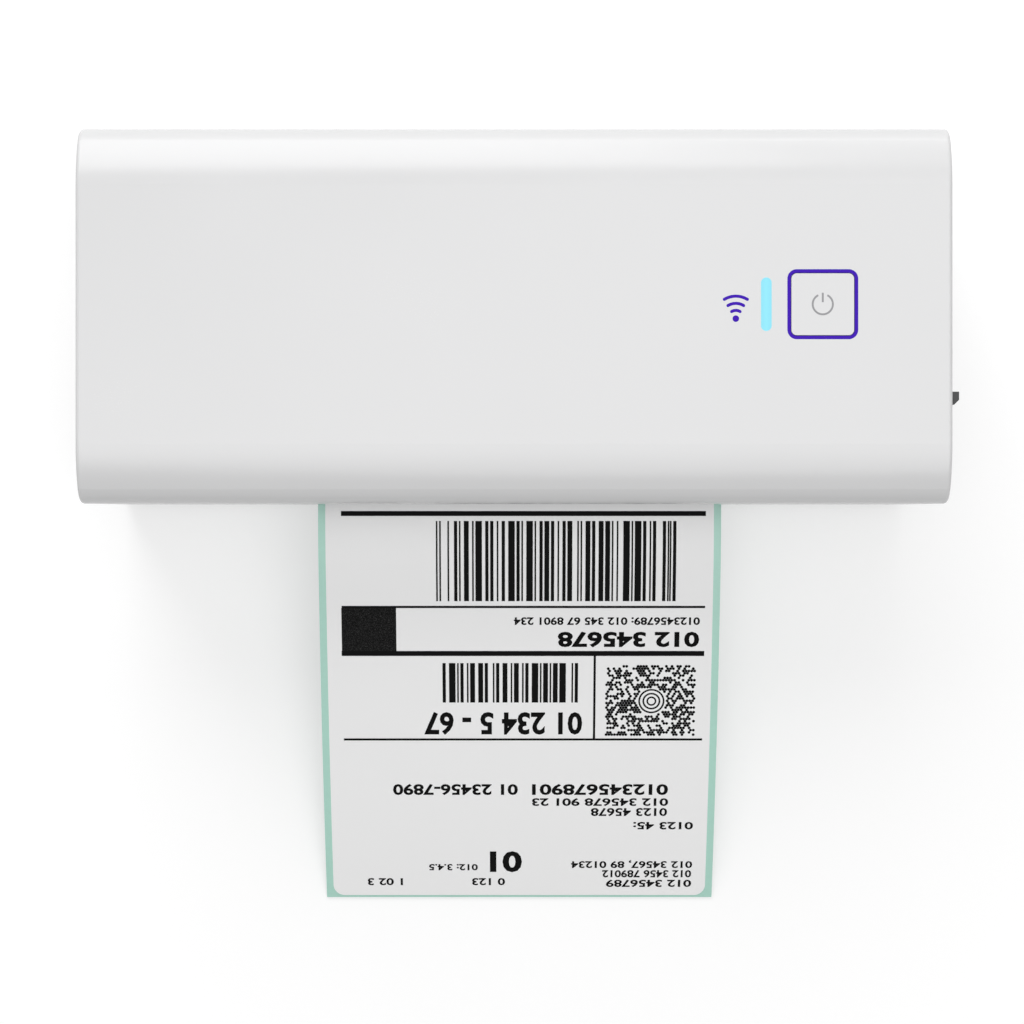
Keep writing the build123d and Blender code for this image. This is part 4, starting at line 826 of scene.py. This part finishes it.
class PRINTER_OT_drive(bpy.types.Operator):
    """Give the platen, the gears, the motor and the print head their finishes"""

    bl_idname = "printer.drive"
    bl_label = "Finish the drive"

    def execute(self, context):
        steel = turned_metal("turned steel", (0.56, 0.57, 0.58), 0.3)
        give(steel, "platen_shaft", "motor_shaft", "latch_shaft", "idler_stud", "idler_clip",
             "strike_pins", "hinge_pins")
        plated = plated_metal("plated sheet", (0.60, 0.61, 0.60), 0.38)
        give(plated, "gear_bracket", "head_bracket", "stepper_motor", "radio_module")
        give(turned_metal("spring strip", (0.62, 0.63, 0.64), 0.24, (0.03, 1.0, 1.0)), "tear_bar")
        give(tough_rubber("platen rubber", (0.022, 0.022, 0.024), 0.0005), "platen_rubber")
        nylon = moulded_plastic("gear nylon", (0.62, 0.60, 0.55), 0.42, 0.0002, SMOOTH)
        give(nylon, "platen_gear", "idler_gear", "guide_pinion", "platen_bushes")
        give(turned_metal("pinion brass", (0.72, 0.52, 0.22), 0.28), "motor_pinion")
        extruded = turned_metal("extruded aluminium", (0.72, 0.73, 0.74), 0.36, (0.03, 1.0, 1.0))
        give(extruded, "head_heat_sink")
        give(fired_ceramic("head ceramic", (0.78, 0.76, 0.70)), "head_ceramic")
        return {"FINISHED"}


class PRINTER_OT_fasteners(bpy.types.Operator):
    """Give every screw its plated steel"""

    bl_idname = "printer.fasteners"
    bl_label = "Finish the fasteners"

    def execute(self, context):
        zinc = turned_metal("zinc screws", (0.55, 0.55, 0.54), 0.34, (0.2, 0.2, 1.0))
        give(zinc, *(name for name in NODES if "screw" in name))
        return {"FINISHED"}


class PRINTER_OT_boards(bpy.types.Operator):
    """Give the circuit boards, sockets, switch and lamps their finishes"""

    bl_idname = "printer.boards"
    bl_label = "Finish the electronics"

    def execute(self, context):
        mask = (0.010, 0.085, 0.040)
        middle = middle_of("main_board")
        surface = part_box("main_board")[0].z + BOARD_THICKNESS
        top = surface + CAN_HEIGHT
        cans = [(middle.x + x, middle.y + y, CAN_RADIUS, top) for x, y in CAN_PLACES]
        give(circuit_laminate("main board", mask, surface, cans), "main_board")
        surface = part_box("control_board")[1].z
        give(circuit_laminate("control board", mask, surface, []), "control_board")
        axis = middle_of("power_inlet")
        give(socket_plastic("inlet black", (0.014, 0.014, 0.016), axis), "power_inlet")
        tongue = middle_of("data_socket")
        give(socket_shell("socket tin", (0.66, 0.67, 0.68), tongue), "data_socket")
        for node, name, colour in (("power_switch", "switch black", (0.02, 0.02, 0.022)),
                                   ("switch_stem", "switch stem", (0.25, 0.25, 0.26))):
            give(moulded_plastic(name, colour, 0.4, 0.0003, SATIN), node)
        give(lamp_body("lamp body", (0.8, 0.8, 0.78)), "status_leds")
        return {"FINISHED"}


class PRINTER_OT_controls(bpy.types.Operator):
    """Finish the button, ring and light, and print the power and wireless signs"""

    bl_idname = "printer.controls"
    bl_label = "Make the controls"

    def execute(self, context):
        case = context.scene.case_settings
        controls = context.scene.control_settings
        cap = moulded_plastic("button white", tuple(case.white), case.gloss, case.grain, POLISHED)
        give(cap, "power_button")
        violet = tuple(controls.ring)
        ring = moulded_plastic("ring violet", violet, 0.4, case.grain, SMOOTH, shine=0.12)
        give(ring, "button_ring")
        low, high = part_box("status_light_lens")
        lens_half = (high.x - low.x) / 2
        cyan = lit_lens("lens cyan", tuple(controls.light), controls.glow, lens_half)
        give(cyan, "status_light_lens")
        self.power_sign(controls)
        self.wireless_sign(controls)
        return {"FINISHED"}

    def power_sign(self, controls):
        """An open arc with a bar in its gap, on the button's cap."""
        x, y = middle_of("power_button").xy
        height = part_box("power_button")[1].z
        stroke = controls.sign_stroke
        shape = bmesh.new()
        start = UPWARDS + SIGN_GAP
        end = UPWARDS + 2 * math.pi - SIGN_GAP
        flat_arc(shape, (x, y), controls.sign_radius, stroke, start, end, 40, height)
        bottom, top = SIGN_BAR
        flat_bar(shape, x - stroke / 2, x + stroke / 2, y + bottom, y + top, height)
        face_up(shape)
        ink = screen_ink("sign grey", tuple(controls.sign))
        piece = make_piece("power_sign", shape, ink, "button")
        thicken(piece, controls.layer)

    def wireless_sign(self, controls):
        """A dot with three arcs over it, on the cover beside the light."""
        light = middle_of("status_light_lens")
        x, y = light.x - controls.wave_across, light.y - controls.wave_forward
        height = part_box("status_light_lens")[1].z
        stroke = controls.wave_stroke
        shape = bmesh.new()
        flat_dot(shape, (x, y), WAVE_DOT, 24, height)
        for radius in WAVE_RADII:
            right, left = UPWARDS - WAVE_HALF, UPWARDS + WAVE_HALF
            flat_arc(shape, (x, y), radius, stroke, right, left, 16, height)
            # Each arc ends in a half round, turned away from it so that nothing overlaps.
            for angle, turn in ((right, -math.pi), (left, math.pi)):
                end = (x + radius * math.cos(angle), y + radius * math.sin(angle))
                flat_arc(shape, end, stroke / 4, stroke / 2, angle, angle + turn, 8, height)
        face_up(shape)
        ink = screen_ink("sign violet", tuple(controls.ring))
        piece = make_piece("wireless_sign", shape, ink, "lid")
        thicken(piece, controls.layer)


class PRINTER_OT_springs(bpy.types.Operator):
    """Wind the print head's springs and the latch's spring"""

    bl_idname = "printer.springs"
    bl_label = "Wind the springs"

    def execute(self, context):
        steel = turned_metal("spring steel", (0.50, 0.51, 0.52), 0.26)
        low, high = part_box("head_springs")
        radius = (high.y - low.y) / 2
        middle = middle_of("head_springs")
        spread = (high.x - low.x) / 2 - radius
        springs = [
            coil((x, middle.y, low.z), (0, 0, 1), high.z - low.z, radius, HEAD_WIRE, HEAD_TURNS)
            for x in (middle.x - spread, middle.x, middle.x + spread)
        ]
        wound("head_coils", springs, steel, "print_head", "head_springs")
        low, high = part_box("latch_spring")
        radius = (high.y - low.y) / 2
        middle = middle_of("latch_spring")
        foot = (low.x, middle.y, middle.z)
        spring = coil(foot, (1, 0, 0), high.x - low.x, radius, LATCH_WIRE, LATCH_TURNS)
        wound("latch_coil", [spring], steel, "lid", "latch_spring")
        return {"FINISHED"}


class PRINTER_OT_paper(bpy.types.Operator):
    """Give the label and its liner their papers"""

    bl_idname = "printer.paper"
    bl_label = "Finish the papers"

    def execute(self, context):
        paper = context.scene.label_settings
        give(thermal_paper("label paper", tuple(paper.paper)), "printed_label")
        give(glassine_paper("liner paper", tuple(paper.liner)), "label_liner")
        return {"FINISHED"}


class PRINTER_OT_label_print(bpy.types.Operator):
    """Print the label's rules, bars, dots and plain numbers"""

    bl_idname = "printer.label_print"
    bl_label = "Print the label"

    def execute(self, context):
        colour = tuple(context.scene.label_settings.ink)
        ink = thermal_ink("thermal print", colour, solid=0.76, missed=0.06)
        patterned = thermal_ink("patterned print", colour, solid=0.56, missed=0.035)
        self.rules(context, ink, patterned)
        self.codes(context, ink)
        self.numbers(context, ink)
        return {"FINISHED"}

    def rules(self, context, ink, patterned):
        """Rules across the label, one upright rule and the solid block."""
        shape = bmesh.new()
        box_print(shape, (1.8, 3.1), (-46.7, 48.7))
        box_print(shape, (27.2, 27.8), (-46.8, 48.8))
        box_print(shape, (39.7, 41.1), (-47.0, 48.8))
        box_print(shape, (41.1, 64.7), (19.6, 20.2))
        box_print(shape, (64.7, 65.3), (-46.9, 48.8))
        print_piece(context, "print_rules", shape, ink)
        shape = bmesh.new()
        box_print(shape, (27.8, 39.7), (-46.9, -32.5))
        print_piece(context, "print_block", shape, patterned)

    def codes(self, context, ink):
        """The wide and the short bar code, and the square of dots with its rings."""
        shape = bmesh.new()
        bar_code(shape, (4.4, 25.9), (-21.9, 41.0), seed=11)
        print_piece(context, "print_wide_bars", shape, ink)
        shape = bmesh.new()
        bar_code(shape, (43.1, 54.3), (-20.4, 15.5), seed=23)
        print_piece(context, "print_short_bars", shape, ink)
        shape = bmesh.new()
        dot_code(shape, (43.6, 64.3), (22.7, 46.7), middle=(53.9, 35.05), clear=4.0, seed=5)
        print_piece(context, "print_dots", shape, ink)

    def numbers(self, context, ink):
        """Plain digits where a label has its lines of text."""
        shape = bmesh.new()
        rows = (
            ("0123456789: 012 345 67 8901 234", (30.3, 32.5), (-1.5, 47.5), PLAIN),
            ("012 345678", (34.3, 38.7), (10.1, 47.4), BOLD),
            ("01 234 5 - 67", (57.0, 63.7), (-25.4, 16.7), STRONG),
            ("012345678901", (78.2, 81.6), (3.4, 40.0), STRONG),
            ("01 23456-7890", (78.2, 81.6), (-34.0, -0.4), STRONG),
            ("012 345678 901 23", (82.5, 84.9), (3.4, 40.1), SMALL),
            ("0123 45678", (85.5, 88.0), (19.3, 39.9), SMALL),
            ("0123 45:", (89.8, 92.1), (30.8, 47.0), SMALL),
            ("01", (98.9, 105.6), (-8.0, 0.7), BOLD),
            ("012: 3.4.5", (103.0, 105.0), (-24.6, -11.3), SMALL),
            ("0 123", (107.5, 109.8), (-12.9, -3.9), SMALL),
            ("1 02 3", (107.5, 109.8), (-41.4, -31.8), SMALL),
            ("012 34567, 89 01234", (101.7, 104.3), (14.1, 47.1), SMALL),
            ("012 3456 789012", (104.9, 107.3), (22.6, 46.9), SMALL),
            ("012 3456789", (108.0, 110.4), (23.7, 47.0), SMALL),
        )
        for words, along, across, weight in rows:
            number_row(shape, words, along, across, weight)
        print_piece(context, "print_numbers", shape, ink)


class PRINTER_OT_stage(bpy.types.Operator):
    """Set up the white floor, the lights and the camera over the printer"""

    bl_idname = "printer.stage"
    bl_label = "Set the stage"

    def execute(self, context):
        stage = context.scene.stage_settings
        self.floor(stage)
        self.sky(context, stage)
        top, back = stage.top_size, stage.back_size
        self.lamp(context, "top_lamp", stage.top_place, (top, top), stage.top_power)
        self.lamp(context, "back_lamp", stage.back_place, (back, back), stage.back_power)
        self.lamp(context, "low_lamp", stage.low_place, stage.low_size, stage.low_power)
        self.camera(context, stage)
        context.scene.view_settings.view_transform = "Standard"
        return {"FINISHED"}

    def seen(self, shade):
        """1 for the rays that the eye, a reflection or a clear piece sees by."""
        kinds = [shade.node("ShaderNodeLightPath", output=kind)
                 for kind in ("Is Camera Ray", "Is Glossy Ray", "Is Transmission Ray")]
        return kinds[0].at_least(kinds[1]).at_least(kinds[2])

    def floor(self, stage):
        """A wide pale floor that keeps the shadow and turns white far away."""
        half_width = 6.0
        just_below = -0.0001
        shape = bmesh.new()
        bmesh.ops.create_grid(shape, x_segments=2, y_segments=2, size=half_width)
        bmesh.ops.translate(shape, verts=shape.verts, vec=(0, 0, just_below))
        mesh = bpy.data.meshes.new("floor")
        shape.to_mesh(mesh)
        shape.free()
        floor = bpy.data.objects.new("floor", mesh)
        bpy.context.scene.collection.objects.link(floor)
        material, shade, place = begin("floor white")
        tone = stage.floor_tone
        matt = shade.node("ShaderNodeBsdfDiffuse", None, {"Color": (tone, tone, tone, 1.0)})
        away = place.node("ShaderNodeVectorMath", {"operation": "LENGTH"}, {0: place}, "Value")
        start, end = stage.floor_fade
        smooth = {"interpolation_type": "SMOOTHSTEP"}
        fade = shade.node("ShaderNodeMapRange", smooth, {0: away, 1: start, 2: end})
        white = stage.floor_glow + fade * (1.0 - stage.floor_glow)
        glow = shade.node("ShaderNodeEmission", None, {"Strength": self.seen(shade) * white})
        both = shade.node("ShaderNodeAddShader", None, {0: matt, 1: glow})
        shade.node("ShaderNodeOutputMaterial", None, {"Surface": both})
        mesh.materials.append(material)

    def sky(self, context, stage):
        """Even light from all round, and plain white where it is seen."""
        world = bpy.data.worlds.new("studio")
        world.use_nodes = True
        world.node_tree.nodes.clear()
        shade = Shade(world.node_tree)
        seen = self.seen(shade)
        strength = seen + (1.0 - seen) * stage.sky
        values = {"Color": (1.0, 1.0, 1.0, 1.0), "Strength": strength}
        light = shade.node("ShaderNodeBackground", None, values)
        shade.node("ShaderNodeOutputWorld", None, {"Surface": light})
        context.scene.world = world

    def lamp(self, context, name, place, size, power):
        """One large soft lamp, turned to the printer."""
        data = bpy.data.lights.new(name, "AREA")
        data.shape = "RECTANGLE"
        data.size, data.size_y = size
        data.energy = power
        lamp = bpy.data.objects.new(name, data)
        lamp.location = place
        aim = Vector((0, 0, 0.05))
        lamp.rotation_euler = (aim - lamp.location).to_track_quat("-Z", "Y").to_euler()
        context.scene.collection.objects.link(lamp)

    def camera(self, context, stage):
        """The camera straight above, with the printer's back at the top of the picture."""
        data = bpy.data.cameras.new("camera")
        data.lens = stage.lens
        data.sensor_width = 36.0
        data.clip_start = 0.01
        data.clip_end = 50.0
        camera = bpy.data.objects.new("camera", data)
        camera.location = (stage.camera_x, stage.camera_y, stage.camera_height)
        context.scene.collection.objects.link(camera)
        context.scene.camera = camera


class PRINTER_PT_panel(bpy.types.Panel):
    """The printer's settings and its steps"""

    bl_idname = "PRINTER_PT_panel"
    bl_label = "Label printer"
    bl_space_type = "VIEW_3D"
    bl_region_type = "UI"
    bl_category = "Printer"

    def draw(self, context):
        for kind in SETTINGS:
            box = self.layout.box()
            for name in SETTINGS[kind].__annotations__:
                box.prop(getattr(context.scene, kind), name)
        for operator in OPERATORS:
            self.layout.operator(operator.bl_idname)


SETTINGS = {
    "case_settings": CaseSettings,
    "control_settings": ControlSettings,
    "label_settings": LabelSettings,
    "stage_settings": StageSettings,
}
OPERATORS = (
    PRINTER_OT_case,
    PRINTER_OT_inner_frame,
    PRINTER_OT_drive,
    PRINTER_OT_fasteners,
    PRINTER_OT_boards,
    PRINTER_OT_controls,
    PRINTER_OT_springs,
    PRINTER_OT_paper,
    PRINTER_OT_label_print,
    PRINTER_OT_stage,
)


KINDS = (*SETTINGS.values(), *OPERATORS, PRINTER_PT_panel)


def register():
    for kind in KINDS:
        bpy.utils.register_class(kind)
    for name, kind in SETTINGS.items():
        setattr(bpy.types.Scene, name, bpy.props.PointerProperty(type=kind))


def unregister():
    for name in SETTINGS:
        delattr(bpy.types.Scene, name)
    for kind in reversed(KINDS):
        bpy.utils.unregister_class(kind)


def main():
    register()
    bpy.ops.printer.case()
    bpy.ops.printer.inner_frame()
    bpy.ops.printer.drive()
    bpy.ops.printer.fasteners()
    bpy.ops.printer.boards()
    bpy.ops.printer.controls()
    bpy.ops.printer.springs()
    bpy.ops.printer.paper()
    bpy.ops.printer.label_print()
    bpy.ops.printer.stage()


if __name__ == "__main__":
    main()
